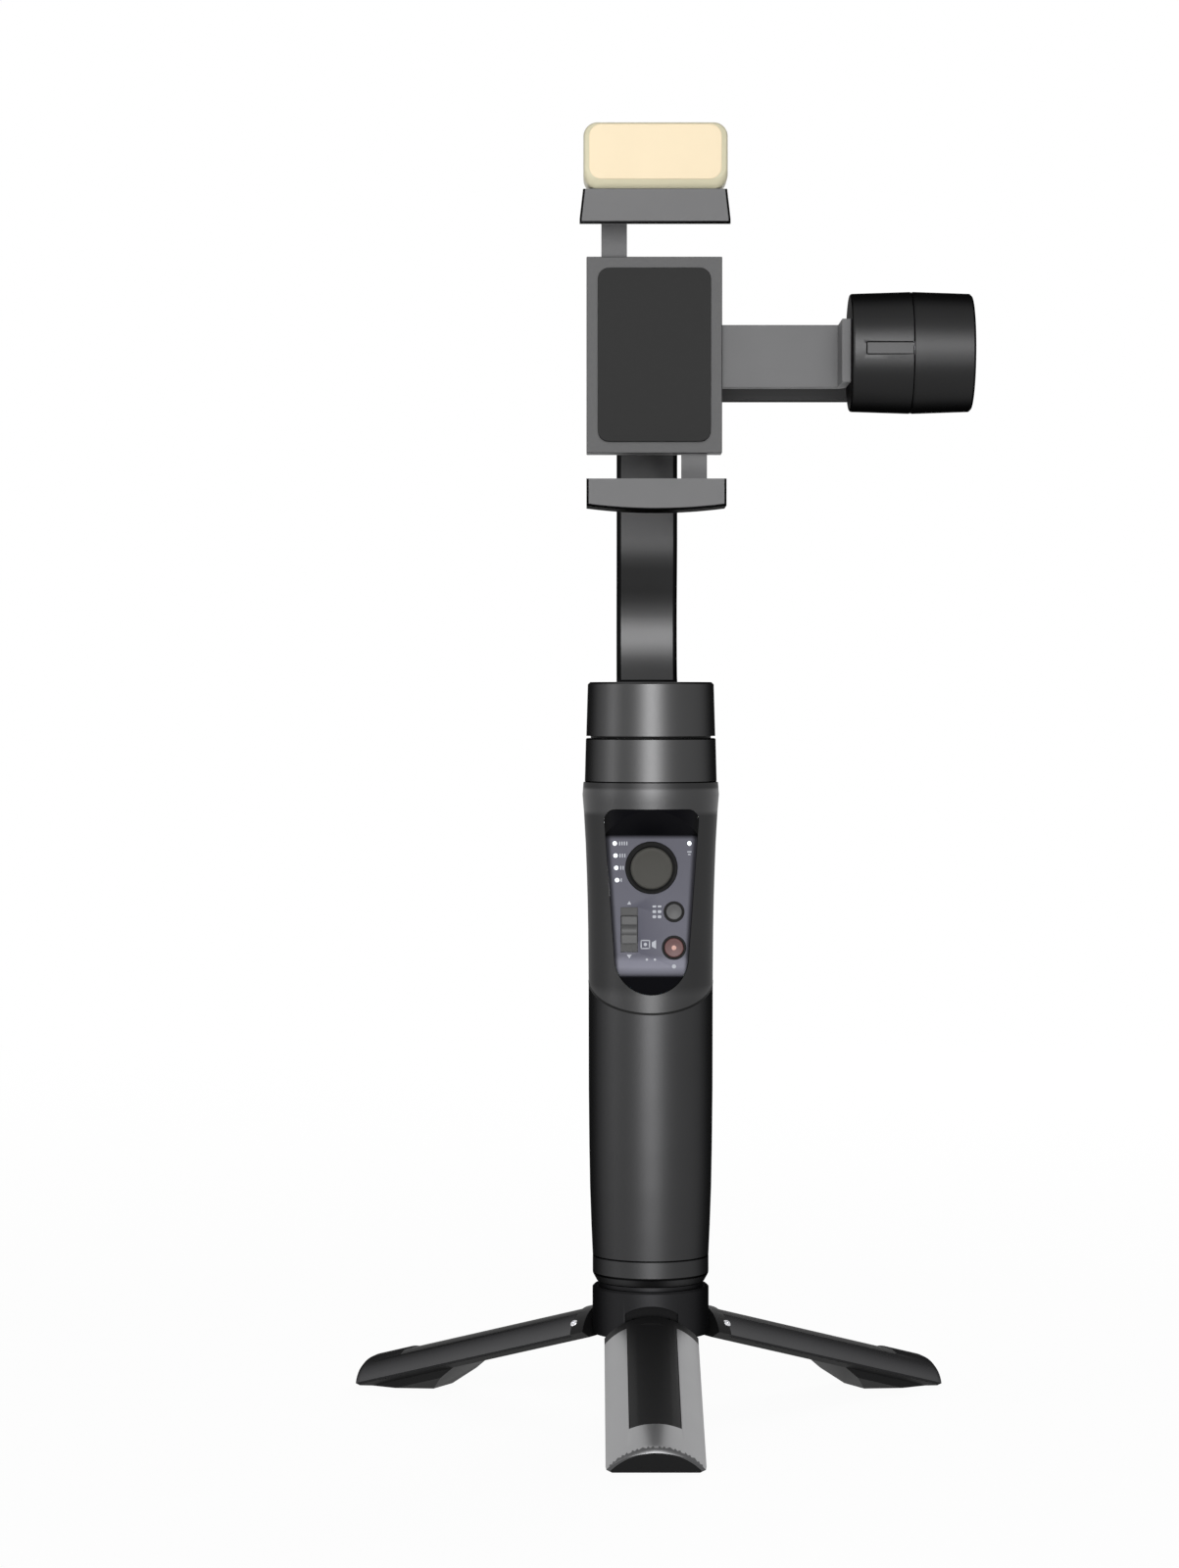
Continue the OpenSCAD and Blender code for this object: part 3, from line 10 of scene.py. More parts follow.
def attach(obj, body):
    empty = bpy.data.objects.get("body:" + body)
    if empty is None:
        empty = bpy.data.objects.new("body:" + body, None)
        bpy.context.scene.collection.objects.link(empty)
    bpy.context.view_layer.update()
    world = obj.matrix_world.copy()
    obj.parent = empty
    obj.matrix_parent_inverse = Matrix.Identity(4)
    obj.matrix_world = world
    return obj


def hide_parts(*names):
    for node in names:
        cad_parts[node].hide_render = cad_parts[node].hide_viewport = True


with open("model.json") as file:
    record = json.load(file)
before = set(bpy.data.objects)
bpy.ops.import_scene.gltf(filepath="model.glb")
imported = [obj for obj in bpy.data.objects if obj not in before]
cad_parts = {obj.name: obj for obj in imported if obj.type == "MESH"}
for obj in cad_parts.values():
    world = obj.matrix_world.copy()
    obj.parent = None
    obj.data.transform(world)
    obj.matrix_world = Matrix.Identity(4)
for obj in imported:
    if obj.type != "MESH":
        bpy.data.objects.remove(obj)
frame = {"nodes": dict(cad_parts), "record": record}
nodes = frame["nodes"]
record = frame["record"]
SLOTS = {part["node"]: part["material_slot"] for part in record["subparts"]}
BODIES = {node: body for body, members in record["behaviour"]["bodies"].items()
          for node in members}
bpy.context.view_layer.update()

MM = 0.001
scene = bpy.context.scene

# Camera: its place, its pitch below level in degrees, its lens and sensor in millimetres, and
# the range it sees in metres

CAMERA_AT = Vector((-16.2, -1010, 187.7)) * MM
CAMERA_PITCH = 1.25
LENS = 87.68
SENSOR = 36
CLIP = (0.01, 50)

# World light on the object, and the plain white that the camera and gloss see behind it

AMBIENT = 0.1
WHITE = 1.0

# Studio lights, in metres and watts: name, place, target, width and height, power, and whether
# gloss shows them

STUDIO_LIGHTS = (
    ("key", (0, -1.5, 0.7), (0, 0, 0.7), (0.42, 1.3), 15, True),
    ("wings", (0, -1.52, 0.54), (0, 0, 0.54), (1.2, 0.64), 11, True),
    ("low", (0, -0.72, 0.06), (0, 0, 0.06), (0.4, 0.11), 1.1, True),
    ("left", (-1.3, -0.4, 0.5), (0, 0, 0.25), (0.4, 1.1), 4, True),
    ("back", (0.5, 1.5, 0.6), (0, 0, 0.25), (0.9, 1.2), 28, False),
)

# Floor: half its side, its own tone, its share of plain white near the object, and the
# distances between which that share grows to all white

FLOOR_HALF = 6
FLOOR_TONE = 0.86
WHITE_NEAR = 0.95
SHADOW_NEAR = 0.25
SHADOW_FAR = 1.1

# How close two corners are to join, in millimetres; how flat an edge is to be taken out, and how
# steep to count as sharp, in degrees; and the steps of a rounded edge

WELD = 0.002
FLAT = 0.3
SHARP = 28
ROUND_STEPS = 2


def make_camera():
    data = bpy.data.cameras.new("camera")
    data.sensor_fit = "AUTO"
    data.sensor_width = SENSOR
    data.lens = LENS
    data.clip_start, data.clip_end = CLIP
    camera = bpy.data.objects.new("camera", data)
    camera.location = CAMERA_AT
    camera.rotation_euler = (math.radians(90 - CAMERA_PITCH), 0, 0)
    scene.collection.objects.link(camera)
    scene.camera = camera


def area_light(name, at, target, size, watts, glossy):
    data = bpy.data.lights.new(name, "AREA")
    data.shape = "RECTANGLE"
    data.size, data.size_y = size
    data.energy = watts
    lamp = bpy.data.objects.new(name, data)
    lamp.location = Vector(at)
    lamp.rotation_euler = (Vector(target) - Vector(at)).to_track_quat("-Z", "Y").to_euler()
    scene.collection.objects.link(lamp)
    lamp.visible_glossy = glossy


def light_scene():
    scene.view_settings.view_transform = "Standard"
    for light in STUDIO_LIGHTS:
        area_light(*light)


# Shader nodes

def math_node(tree, operation, *values):
    """A math node; each value is a plain number or the socket it comes from."""
    node = tree.nodes.new("ShaderNodeMath")
    node.operation = operation
    for socket, value in zip(node.inputs, values):
        if isinstance(value, (int, float)):
            socket.default_value = value
        else:
            tree.links.new(value, socket)
    return node


def multiplied(tree, first, second):
    """The product of two colours."""
    product = tree.nodes.new("ShaderNodeMix")
    product.data_type = "RGBA"
    product.blend_type = "MULTIPLY"
    product.inputs["Factor"].default_value = 1
    tree.links.new(first, product.inputs["A"])
    tree.links.new(second, product.inputs["B"])
    return product.outputs["Result"]


def mixed(tree, share, first, second):
    """Two shaders mixed; the share is the second one's."""
    mix = tree.nodes.new("ShaderNodeMixShader")
    for value, socket in zip((share, first, second), mix.inputs):
        tree.links.new(value, socket)
    return mix.outputs[0]


def seen_directly(tree):
    """A factor that is 1 for camera, glossy and transmission rays, and 0 for light."""
    path = tree.nodes.new("ShaderNodeLightPath")
    two = math_node(tree, "ADD", path.outputs["Is Camera Ray"], path.outputs["Is Glossy Ray"])
    three = math_node(tree, "ADD", two.outputs[0], path.outputs["Is Transmission Ray"])
    three.use_clamp = True
    return three.outputs[0]


# Studio

def background(tree, strength):
    node = tree.nodes.new("ShaderNodeBackground")
    node.inputs["Color"].default_value = (1, 1, 1, 1)
    node.inputs["Strength"].default_value = strength
    return node.outputs[0]


def make_world():
    world = bpy.data.worlds.new("studio")
    scene.world = world
    world.use_nodes = True
    tree = world.node_tree
    tree.nodes.clear()
    out = tree.nodes.new("ShaderNodeOutputWorld")
    both = mixed(tree, seen_directly(tree), background(tree, AMBIENT), background(tree, WHITE))
    tree.links.new(both, out.inputs[0])


def make_floor():
    """A pale floor that keeps the object's shadow and turns all white away from it."""
    mesh = bpy.data.meshes.new("floor")
    corners = [(x * FLOOR_HALF, y * FLOOR_HALF, 0) for x, y in ((-1, -1), (1, -1), (1, 1), (-1, 1))]
    mesh.from_pydata(corners, [], [(0, 1, 2, 3)])
    floor = bpy.data.objects.new("floor", mesh)
    scene.collection.objects.link(floor)
    material = bpy.data.materials.new("floor_white")
    material.use_nodes = True
    tree = material.node_tree
    tree.nodes.clear()
    matt = tree.nodes.new("ShaderNodeBsdfDiffuse")
    matt.inputs["Color"].default_value = (FLOOR_TONE, FLOOR_TONE, FLOOR_TONE, 1)
    glow = tree.nodes.new("ShaderNodeEmission")
    glow.inputs["Strength"].default_value = WHITE
    place = tree.nodes.new("ShaderNodeNewGeometry")
    reach = tree.nodes.new("ShaderNodeVectorMath")
    reach.operation = "LENGTH"
    tree.links.new(place.outputs["Position"], reach.inputs[0])
    fade = tree.nodes.new("ShaderNodeMapRange")
    fade.inputs["From Min"].default_value = SHADOW_NEAR
    fade.inputs["From Max"].default_value = SHADOW_FAR
    fade.inputs["To Min"].default_value = WHITE_NEAR
    tree.links.new(reach.outputs["Value"], fade.inputs["Value"])
    share = math_node(tree, "MULTIPLY", seen_directly(tree), fade.outputs[0])
    out = tree.nodes.new("ShaderNodeOutputMaterial")
    both = mixed(tree, share.outputs[0], matt.outputs[0], glow.outputs[0])
    tree.links.new(both, out.inputs[0])
    mesh.materials.append(material)


# Materials: how much the tone drifts, at what scale, and how strong, how coarse and how deep
# the grain is, with the change of roughness that goes with it

DRIFT = 0.06
DRIFT_SCALE = 45
DRIFT_DETAIL = 3
GRAIN = 0.06
GRAIN_SIZE = 0.35 * MM
GRAIN_DEPTH = 0.02 * MM
GRAIN_DETAIL = 2
GRAIN_ROUGH = 0.04

# Where the panel's painted shade toward its sides starts and ends, as shares of its half width,
# and the share of its colour that is left there

SIDE_START = 0.86
SIDE_END = 0.98
SIDE_SHARE = 0.18


def surface(name, colour, rough, metal=0.0, specular=0.5, rim=1.0, levels=(), side_shade=None):
    """A moulded or machined finish: fine grain in the bump, and slow changes of tone and gloss.

    On metal, the rim is the share of the gloss that is left at grazing angles. The levels are
    pairs of a height in millimetres and a share of the colour and gloss there, which paint
    highlight and shade by height.
    """
    material = bpy.data.materials.new(name)
    material.use_nodes = True
    tree = material.node_tree
    tree.nodes.clear()
    out = tree.nodes.new("ShaderNodeOutputMaterial")
    shader = tree.nodes.new("ShaderNodeBsdfPrincipled")
    shader.inputs["Metallic"].default_value = metal
    shader.inputs["Specular IOR Level"].default_value = specular
    shader.inputs["Specular Tint"].default_value = (rim, rim, rim, 1)
    tree.links.new(shader.outputs[0], out.inputs[0])
    place = tree.nodes.new("ShaderNodeTexCoord")

    drift = tree.nodes.new("ShaderNodeTexNoise")
    drift.inputs["Scale"].default_value = DRIFT_SCALE
    drift.inputs["Detail"].default_value = DRIFT_DETAIL
    tree.links.new(place.outputs["Object"], drift.inputs["Vector"])
    tone = tree.nodes.new("ShaderNodeMix")
    tone.data_type = "RGBA"
    tone.inputs["A"].default_value = (*[c * (1 - DRIFT) for c in colour], 1)
    tone.inputs["B"].default_value = (*[min(1, c * (1 + DRIFT)) for c in colour], 1)
    tree.links.new(drift.outputs["Fac"], tone.inputs["Factor"])
    tree.links.new(tone.outputs["Result"], shader.inputs["Base Color"])
    if levels:
        by_height(tree, place, tone, shader, rim, levels, side_shade)

    fine = tree.nodes.new("ShaderNodeTexNoise")
    fine.inputs["Scale"].default_value = 1 / GRAIN_SIZE
    fine.inputs["Detail"].default_value = GRAIN_DETAIL
    tree.links.new(place.outputs["Object"], fine.inputs["Vector"])
    gloss = tree.nodes.new("ShaderNodeMapRange")
    gloss.inputs["To Min"].default_value = rough - GRAIN_ROUGH
    gloss.inputs["To Max"].default_value = rough + GRAIN_ROUGH
    tree.links.new(fine.outputs["Fac"], gloss.inputs["Value"])
    tree.links.new(gloss.outputs[0], shader.inputs["Roughness"])
    bump = tree.nodes.new("ShaderNodeBump")
    bump.inputs["Strength"].default_value = GRAIN
    bump.inputs["Distance"].default_value = GRAIN_DEPTH
    tree.links.new(fine.outputs["Fac"], bump.inputs["Height"])
    tree.links.new(bump.outputs[0], shader.inputs["Normal"])
    return material


def by_height(tree, place, tone, shader, rim, levels, side_shade):
    """Paints highlight and shade by height, scaling the colour, and the gloss where there is a rim.

    The side shade also dims them toward both sides, as painted shade. It is the half width at no
    height, in millimetres, and how much that grows with each millimetre of height.
    """
    low, high = levels[0][0], levels[-1][0]
    split = tree.nodes.new("ShaderNodeSeparateXYZ")
    tree.links.new(place.outputs["Object"], split.inputs[0])
    span = tree.nodes.new("ShaderNodeMapRange")
    span.inputs["From Min"].default_value = low * MM
    span.inputs["From Max"].default_value = high * MM
    tree.links.new(split.outputs["Z"], span.inputs["Value"])
    ramp = tree.nodes.new("ShaderNodeValToRGB")
    stops = ramp.color_ramp.elements
    while len(stops) < len(levels):
        stops.new(0.5)
    for stop, (height, share) in zip(stops, levels):
        stop.position = (height - low) / (high - low)
        stop.color = (share, share, share, 1)
    tree.links.new(span.outputs[0], ramp.inputs[0])
    share = ramp.outputs["Color"]
    if side_shade:
        foot, growth = side_shade
        width = math_node(tree, "MULTIPLY_ADD", split.outputs["Z"], growth, foot * MM)
        side = math_node(tree, "ABSOLUTE", split.outputs["X"])
        part = math_node(tree, "DIVIDE", side.outputs[0], width.outputs[0])
        dim = tree.nodes.new("ShaderNodeMapRange")
        dim.interpolation_type = "SMOOTHSTEP"
        dim.inputs["From Min"].default_value = SIDE_START
        dim.inputs["From Max"].default_value = SIDE_END
        dim.inputs["To Min"].default_value = 1
        dim.inputs["To Max"].default_value = SIDE_SHARE
        tree.links.new(part.outputs[0], dim.inputs["Value"])
        share = multiplied(tree, share, dim.outputs[0])
    tree.links.new(multiplied(tree, tone.outputs["Result"], share), shader.inputs["Base Color"])
    if rim:
        tree.links.new(share, shader.inputs["Specular Tint"])


# Heights in millimetres and the share of the finish's own colour there, and the panel's side shade,
# as by_height takes them. The panel is nearly black below 115.4 and above 152.5; between them a
# painted highlight lies in a band near its foot, and painted shade darkens it toward its top and
# sides.

PANEL_LEVELS = ((110, 0.02), (115.4, 0.02), (116.4, 0.5), (118, 0.85), (119.6, 0.8), (121, 0.52),
                (151.4, 0.44), (152.5, 0.02), (160, 0.02))
PANEL_SIDE_SHADE = (1.69, 0.0672)

# The cover's shares paint highlights: a band from 105 to 110.5 mm near its foot, and a brighter
# band from 158.8 to 164.3 mm under the motor housing.
COVER_PAINTED_LIGHT = ((105, 0.8), (110.5, 0.86), (113, 0.62), (157.6, 0.62), (158.8, 0.95), (164.3, 1),
                (164.9, 0.6), (166.2, 0.6))

# The arm finish's shares paint a highlight on the pan arm's foot, from 194 to 201 mm, and painted
# shade on all of it above 212 mm.
ARM_PAINTED_LIGHT = ((180, 0.8), (192.5, 0.8), (194, 1), (201, 1), (206, 0.62), (212, 0.36), (400, 0.36))

# The record's slots, and the finishes that only some pieces or faces have

FINISHES = {
    "shell_plastic": surface("grip_finish", (0.043, 0.043, 0.044), 0.42, metal=1.0, rim=0.0),
    "cover_plastic": surface("cover_finish", (0.060, 0.060, 0.061), 0.42, metal=1.0,
                             levels=COVER_PAINTED_LIGHT),
    "panel_plastic": surface("panel_finish", (0.13, 0.13, 0.17), 0.4, specular=0.3,
                             levels=PANEL_LEVELS, side_shade=PANEL_SIDE_SHADE),
    "button_plastic": surface("button_finish", (0.050, 0.050, 0.051), 0.45, specular=0.25),
    "record_plastic": surface("record_finish", (0.078, 0.034, 0.033), 0.42, specular=0.25),
    "stick_rubber": surface("stick_finish", (0.031, 0.030, 0.026), 0.6, specular=0.2),
    "pad_rubber": surface("pad_finish", (0.010, 0.010, 0.010), 0.7, specular=0.2),
    "arm_metal": surface("arm_finish", (0.075, 0.075, 0.076), 0.38, metal=1.0, rim=0.0,
                         levels=ARM_PAINTED_LIGHT),
    "jaw_plastic": surface("jaw_finish", (0.113, 0.113, 0.115), 0.6, specular=0.15),
    "clamp_plastic": surface("clamp_finish", (0.014, 0.014, 0.015), 0.45, specular=0.35),
    "light_plastic": surface("light_finish", (0.45, 0.42, 0.30), 0.4, specular=0.3),
    "diffuser": surface("diffuser_finish", (0.60, 0.505, 0.352), 0.5, specular=0.15),
    "leg_metal": surface("leg_finish", (0.30, 0.30, 0.305), 0.34, metal=1.0, rim=0.9),
    "leg_plastic": surface("leg_core_finish", (0.005, 0.005, 0.0052), 0.5, specular=0.1),
    "steel": surface("steel_finish", (0.6, 0.6, 0.62), 0.25, metal=1.0),
    "magnet": surface("magnet_finish", (0.3, 0.3, 0.32), 0.3, metal=0.9),
    "winding": surface("winding_finish", (0.55, 0.28, 0.12), 0.35, metal=0.7),
    "brass": surface("brass_finish", (0.72, 0.55, 0.25), 0.3, metal=1.0),
    "circuit": surface("circuit_finish", (0.03, 0.17, 0.08), 0.35),
    "cell_wrap": surface("cell_finish", (0.1, 0.28, 0.45), 0.3),
    "light_pipe": surface("pipe_finish", (0.75, 0.8, 0.86), 0.15),
    "hub_plastic": surface("hub_finish", (0.020, 0.020, 0.021), 0.45, metal=1.0, rim=0.0),
    "tip_metal": surface("tip_finish", (0.09, 0.09, 0.092), 0.34, metal=1.0),
    # A darker copy of the leg metal: painted shade on the side legs
    "leg_shaded_metal": surface("leg_shaded_metal_finish", (0.085, 0.085, 0.087), 0.38, metal=1.0,
                            rim=0.0),
    # Near black: painted shade along rounded edges, in the hub's hollows, under the lower jaw and
    # under the joystick's cap
    "painted_shade": surface("painted_shade_finish", (0.006, 0.006, 0.0062), 0.45, metal=1.0, rim=0.0),
    "black_rubber": surface("black_rubber_finish", (0.005, 0.005, 0.005), 0.6, specular=0.12),
    "black_gloss": surface("black_gloss_finish", (0.005, 0.005, 0.0055), 0.3, specular=0.2),
    "ink": surface("ink_finish", (0.32, 0.33, 0.36), 0.6, specular=0.2),
    "record_ink": surface("record_ink_finish", (0.45, 0.27, 0.23), 0.5, specular=0.2),
}


# Shapes, in millimetres

def piece(name, bm, body, finish, replaces=(), edge=0.0, angle=SHARP, edge_finish=None,
          rounded=None):
    """A finished object from a bmesh, smooth between its sharp edges, which get a small round.

    With a test named rounded, only the sharp edges whose two ends together pass it get the round.
    """
    bmesh.ops.recalc_face_normals(bm, faces=bm.faces)
    for face in bm.faces:
        face.smooth = True
    limit = math.radians(angle)
    weights = bm.edges.layers.float.new("bevel_weight_edge") if rounded else None
    for line in bm.edges:
        line.smooth = len(line.link_faces) == 2 and line.calc_face_angle(0) < limit
        if rounded and not line.smooth:
            line[weights] = float(rounded([end.co / MM for end in line.verts]))
    mesh = bpy.data.meshes.new(name)
    bm.to_mesh(mesh)
    bm.free()
    obj = bpy.data.objects.new(name, mesh)
    scene.collection.objects.link(obj)
    mesh.materials.append(FINISHES[finish])
    if edge:
        bevel = obj.modifiers.new("edges", "BEVEL")
        bevel.width = edge * MM
        bevel.segments = ROUND_STEPS
        bevel.limit_method = "WEIGHT" if rounded else "ANGLE"
        bevel.angle_limit = limit
        bevel.harden_normals = True
        bevel.miter_outer = "MITER_ARC"
        bevel.use_clamp_overlap = not rounded
        if edge_finish:
            mesh.materials.append(FINISHES[edge_finish])
            bevel.material = 1
    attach(obj, body)
    if replaces:
        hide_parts(*replaces)
    return obj


def refined(node, edge, finish=None, edge_finish=None, dark=None, rounded=None, cuts=()):
    """The node's own form with its facets joined, its walls smooth and its edges rounded.

    The faces whose centre passes the test named dark get the finish of the edges. The cuts are
    heights where long flat faces are split, which keeps their shading even.
    """
    bm = bmesh.new()
    bm.from_mesh(nodes[node].data)
    bmesh.ops.remove_doubles(bm, verts=bm.verts, dist=WELD * MM)
    bmesh.ops.dissolve_limit(bm, angle_limit=math.radians(FLAT), verts=bm.verts, edges=bm.edges)
    for height in cuts:
        bmesh.ops.bisect_plane(bm, geom=bm.verts[:] + bm.edges[:] + bm.faces[:],
                               plane_co=(0, 0, height * MM), plane_no=(0, 0, 1))
    if dark:
        for face in bm.faces:
            face.material_index = int(dark(face.calc_center_median() / MM))
    return piece(node + ".fine", bm, BODIES[node], finish or SLOTS[node],
                 replaces=(node,), edge=edge, edge_finish=edge_finish, rounded=rounded)


def revolve(bm, profile, place, steps=128):
    """Turns a closed profile of (radius, height) pairs about Z and puts it at its place."""
    rings = []
    for k in range(steps):
        turn = Matrix.Rotation(2 * math.pi * k / steps, 4, "Z")
        rings.append([bm.verts.new(place @ (turn @ Vector((r * MM, 0, h * MM))))
                      for r, h in profile])
    for here, there in zip(rings, rings[1:] + rings[:1]):
        for i in range(len(profile)):
            j = (i + 1) % len(profile)
            bm.faces.new((here[i], there[i], there[j], here[j]))
    bmesh.ops.remove_doubles(bm, verts=bm.verts, dist=WELD * MM)


def loft(bm, rings):
    """Skins a list of closed rings of points, with both ends closed."""
    rows = [[bm.verts.new(Vector(p) * MM) for p in ring] for ring in rings]
    for low, high in zip(rows, rows[1:]):
        for i in range(len(low)):
            j = (i + 1) % len(low)
            bm.faces.new((low[i], low[j], high[j], high[i]))
    bm.faces.new(rows[0][::-1])
    bm.faces.new(rows[-1])


def rounded_rectangle(x_lo, x_hi, z_lo, z_hi, radius, steps):
    """Corner by corner, from the lower left anticlockwise as the user sees it."""
    points = []
    for cx, cz, start in ((x_lo + radius, z_lo + radius, 180), (x_hi - radius, z_lo + radius, 270),
                          (x_hi - radius, z_hi - radius, 0), (x_lo + radius, z_hi - radius, 90)):
        for k in range(steps + 1):
            a = math.radians(start + 90 * k / steps)
            points.append((cx + radius * math.cos(a), cz + radius * math.sin(a)))
    return points


def plate(bm, outline, y_front, y_back):
    """An outline in X and Z between two planes."""
    loft(bm, [[(x, y, z) for x, z in outline] for y in (y_front, y_back)])


def toward_user(x, z):
    """The place of a turned form whose axis points at the user, with its heights from Y = 0."""
    return Matrix.Translation(Vector((x, 0, z)) * MM) @ Matrix.Rotation(math.radians(90), 4, "X")


# Handle and its control panel: the plate's face, the controls' places, how deep the joystick's
# dish is, how far a key stands proud, how deep the record dot sits in its key, and half the
# thickness of the marks

PLATE_Y = -12.3
STICK_Z = 144.0
BUTTON_X = 5.9
MODE_Z = 132.5
RECORD_Z = 123.1
ZOOM_X = -5.8
ZOOM_Z = 127.8
DISH_DEPTH = 0.6
KEY_PROUD = 0.5
DOT_DEPTH = 0.15
INK = 0.05

# The zoom slot's shutter: half its width and length, its corners, and its two faces

SHUTTER_HALF = (2.4, 6.1)
SHUTTER_CORNER = 0.4
SHUTTER_Y = (-11.0, -10.8)
SHUTTER_EDGE = 0.04

# The cover's lower seam: its radius, its height at the sides, its slope and sweep in degrees,
# and how far the black line lies in, stands out and reaches up and down

SEAM_R = 16.44
SEAM_SIDE_Z = 113.8
SEAM_SLOPE = 25.4
SEAM_SWEEP = range(182, 359, 2)
SEAM_IN = 0.4
SEAM_OUT = 0.06
SEAM_HALF = 0.3


def seam_line():
    """Black joint between the control cover and the grip, round the front from side to side."""
    bm = bmesh.new()
    rise = math.tan(math.radians(SEAM_SLOPE))
    section = ((SEAM_R - SEAM_IN, -SEAM_HALF), (SEAM_R + SEAM_OUT, -SEAM_HALF),
               (SEAM_R + SEAM_OUT, SEAM_HALF), (SEAM_R - SEAM_IN, SEAM_HALF))
    rings = []
    for degrees in SEAM_SWEEP:
        a = math.radians(degrees)
        height = SEAM_SIDE_Z + rise * SEAM_R * math.sin(a)
        rings.append([(r * math.cos(a), r * math.sin(a), height + dz) for r, dz in section])
    loft(bm, rings)
    piece("cover_seam", bm, "handle", "black_rubber")


def stick_boot():
    """Rubber gaiter with two folds, in the dish round the joystick."""
    bm = bmesh.new()
    floor = -PLATE_Y - DISH_DEPTH
    profile = [(4.55, floor - 0.9), (4.55, floor + 0.1), (4.9, floor + 0.42), (5.3, floor + 0.18),
               (5.7, floor + 0.42), (6.15, floor + 0.2), (6.7, floor + 0.3), (6.85, floor + 0.05),
               (6.85, floor), (4.9, floor), (4.9, floor - 0.9)]
    revolve(bm, profile, toward_user(0, STICK_Z))
    piece("stick_gaiter", bm, "handle", "black_rubber")


def joystick():
    """Cap with a soft rim and a shallow hollow, on its neck and ball."""
    bm = bmesh.new()
    foot, top = 14.05, 15.85
    profile = [(0, 7.9), (1.4, 8.3), (2.2, 9.2), (2.4, 10.2), (2.1, 11.4), (1.7, 12.2), (1.7, 13.2),
               (2.4, foot), (4.9, foot), (5.3, foot + 0.12), (5.5, foot + 0.45), (5.5, top - 0.55),
               (5.4, top - 0.25), (5.15, top - 0.05), (4.8, top), (4.3, top - 0.08),
               (3.2, top - 0.2), (1.6, top - 0.28), (0, top - 0.3)]
    revolve(bm, profile, toward_user(0, STICK_Z))
    piece("joystick_cap", bm, "stick", "stick_rubber", ("joystick_stick",))


def button(name, body, slot, z, radius, node):
    """Round key with a soft rim and a hollow for the fingertip."""
    bm = bmesh.new()
    face = -PLATE_Y + KEY_PROUD
    profile = [(0, face - 2.3), (radius, face - 2.3), (radius, face - 0.28),
               (radius - 0.08, face - 0.1), (radius - 0.28, face), (radius - 0.6, face - 0.03),
               (radius * 0.5, face - 0.14), (0, face - 0.18)]
    revolve(bm, profile, toward_user(BUTTON_X, z), 64)
    piece(name, bm, body, slot, (node,))


def bezel(name, z, inner, outer):
    """Black ring round a key, with a sleeve down into its opening."""
    bm = bmesh.new()
    face = -PLATE_Y
    profile = [(inner, face - 2.2), (inner, face + 0.02), (inner + 0.12, face + 0.12),
               (outer - 0.15, face + 0.12), (outer, face), (outer, face - 0.1),
               (inner + 0.1, face - 0.1), (inner + 0.1, face - 2.2)]
    revolve(bm, profile, toward_user(BUTTON_X, z), 64)
    piece(name, bm, "handle", "black_rubber")


def record_dot():
    """Pale dot in the hollow of the record key."""
    bm = bmesh.new()
    face = -PLATE_Y + KEY_PROUD - DOT_DEPTH
    profile = [(0, face - 0.05), (0.62, face - 0.05), (0.62, face + 0.03), (0.5, face + 0.08),
               (0, face + 0.1)]
    revolve(bm, profile, toward_user(BUTTON_X, RECORD_Z), 32)
    piece("record_dot", bm, "record", "record_ink")


def zoom_shutter():
    """Sheet under the slider's cap that closes its slot at every place of the cap."""
    bm = bmesh.new()
    half_x, half_z = SHUTTER_HALF
    outline = rounded_rectangle(ZOOM_X - half_x, ZOOM_X + half_x, ZOOM_Z - half_z, ZOOM_Z + half_z,
                                SHUTTER_CORNER, 4)
    plate(bm, outline, *SHUTTER_Y)
    piece("zoom_floor", bm, "handle", "black_gloss", edge=SHUTTER_EDGE)


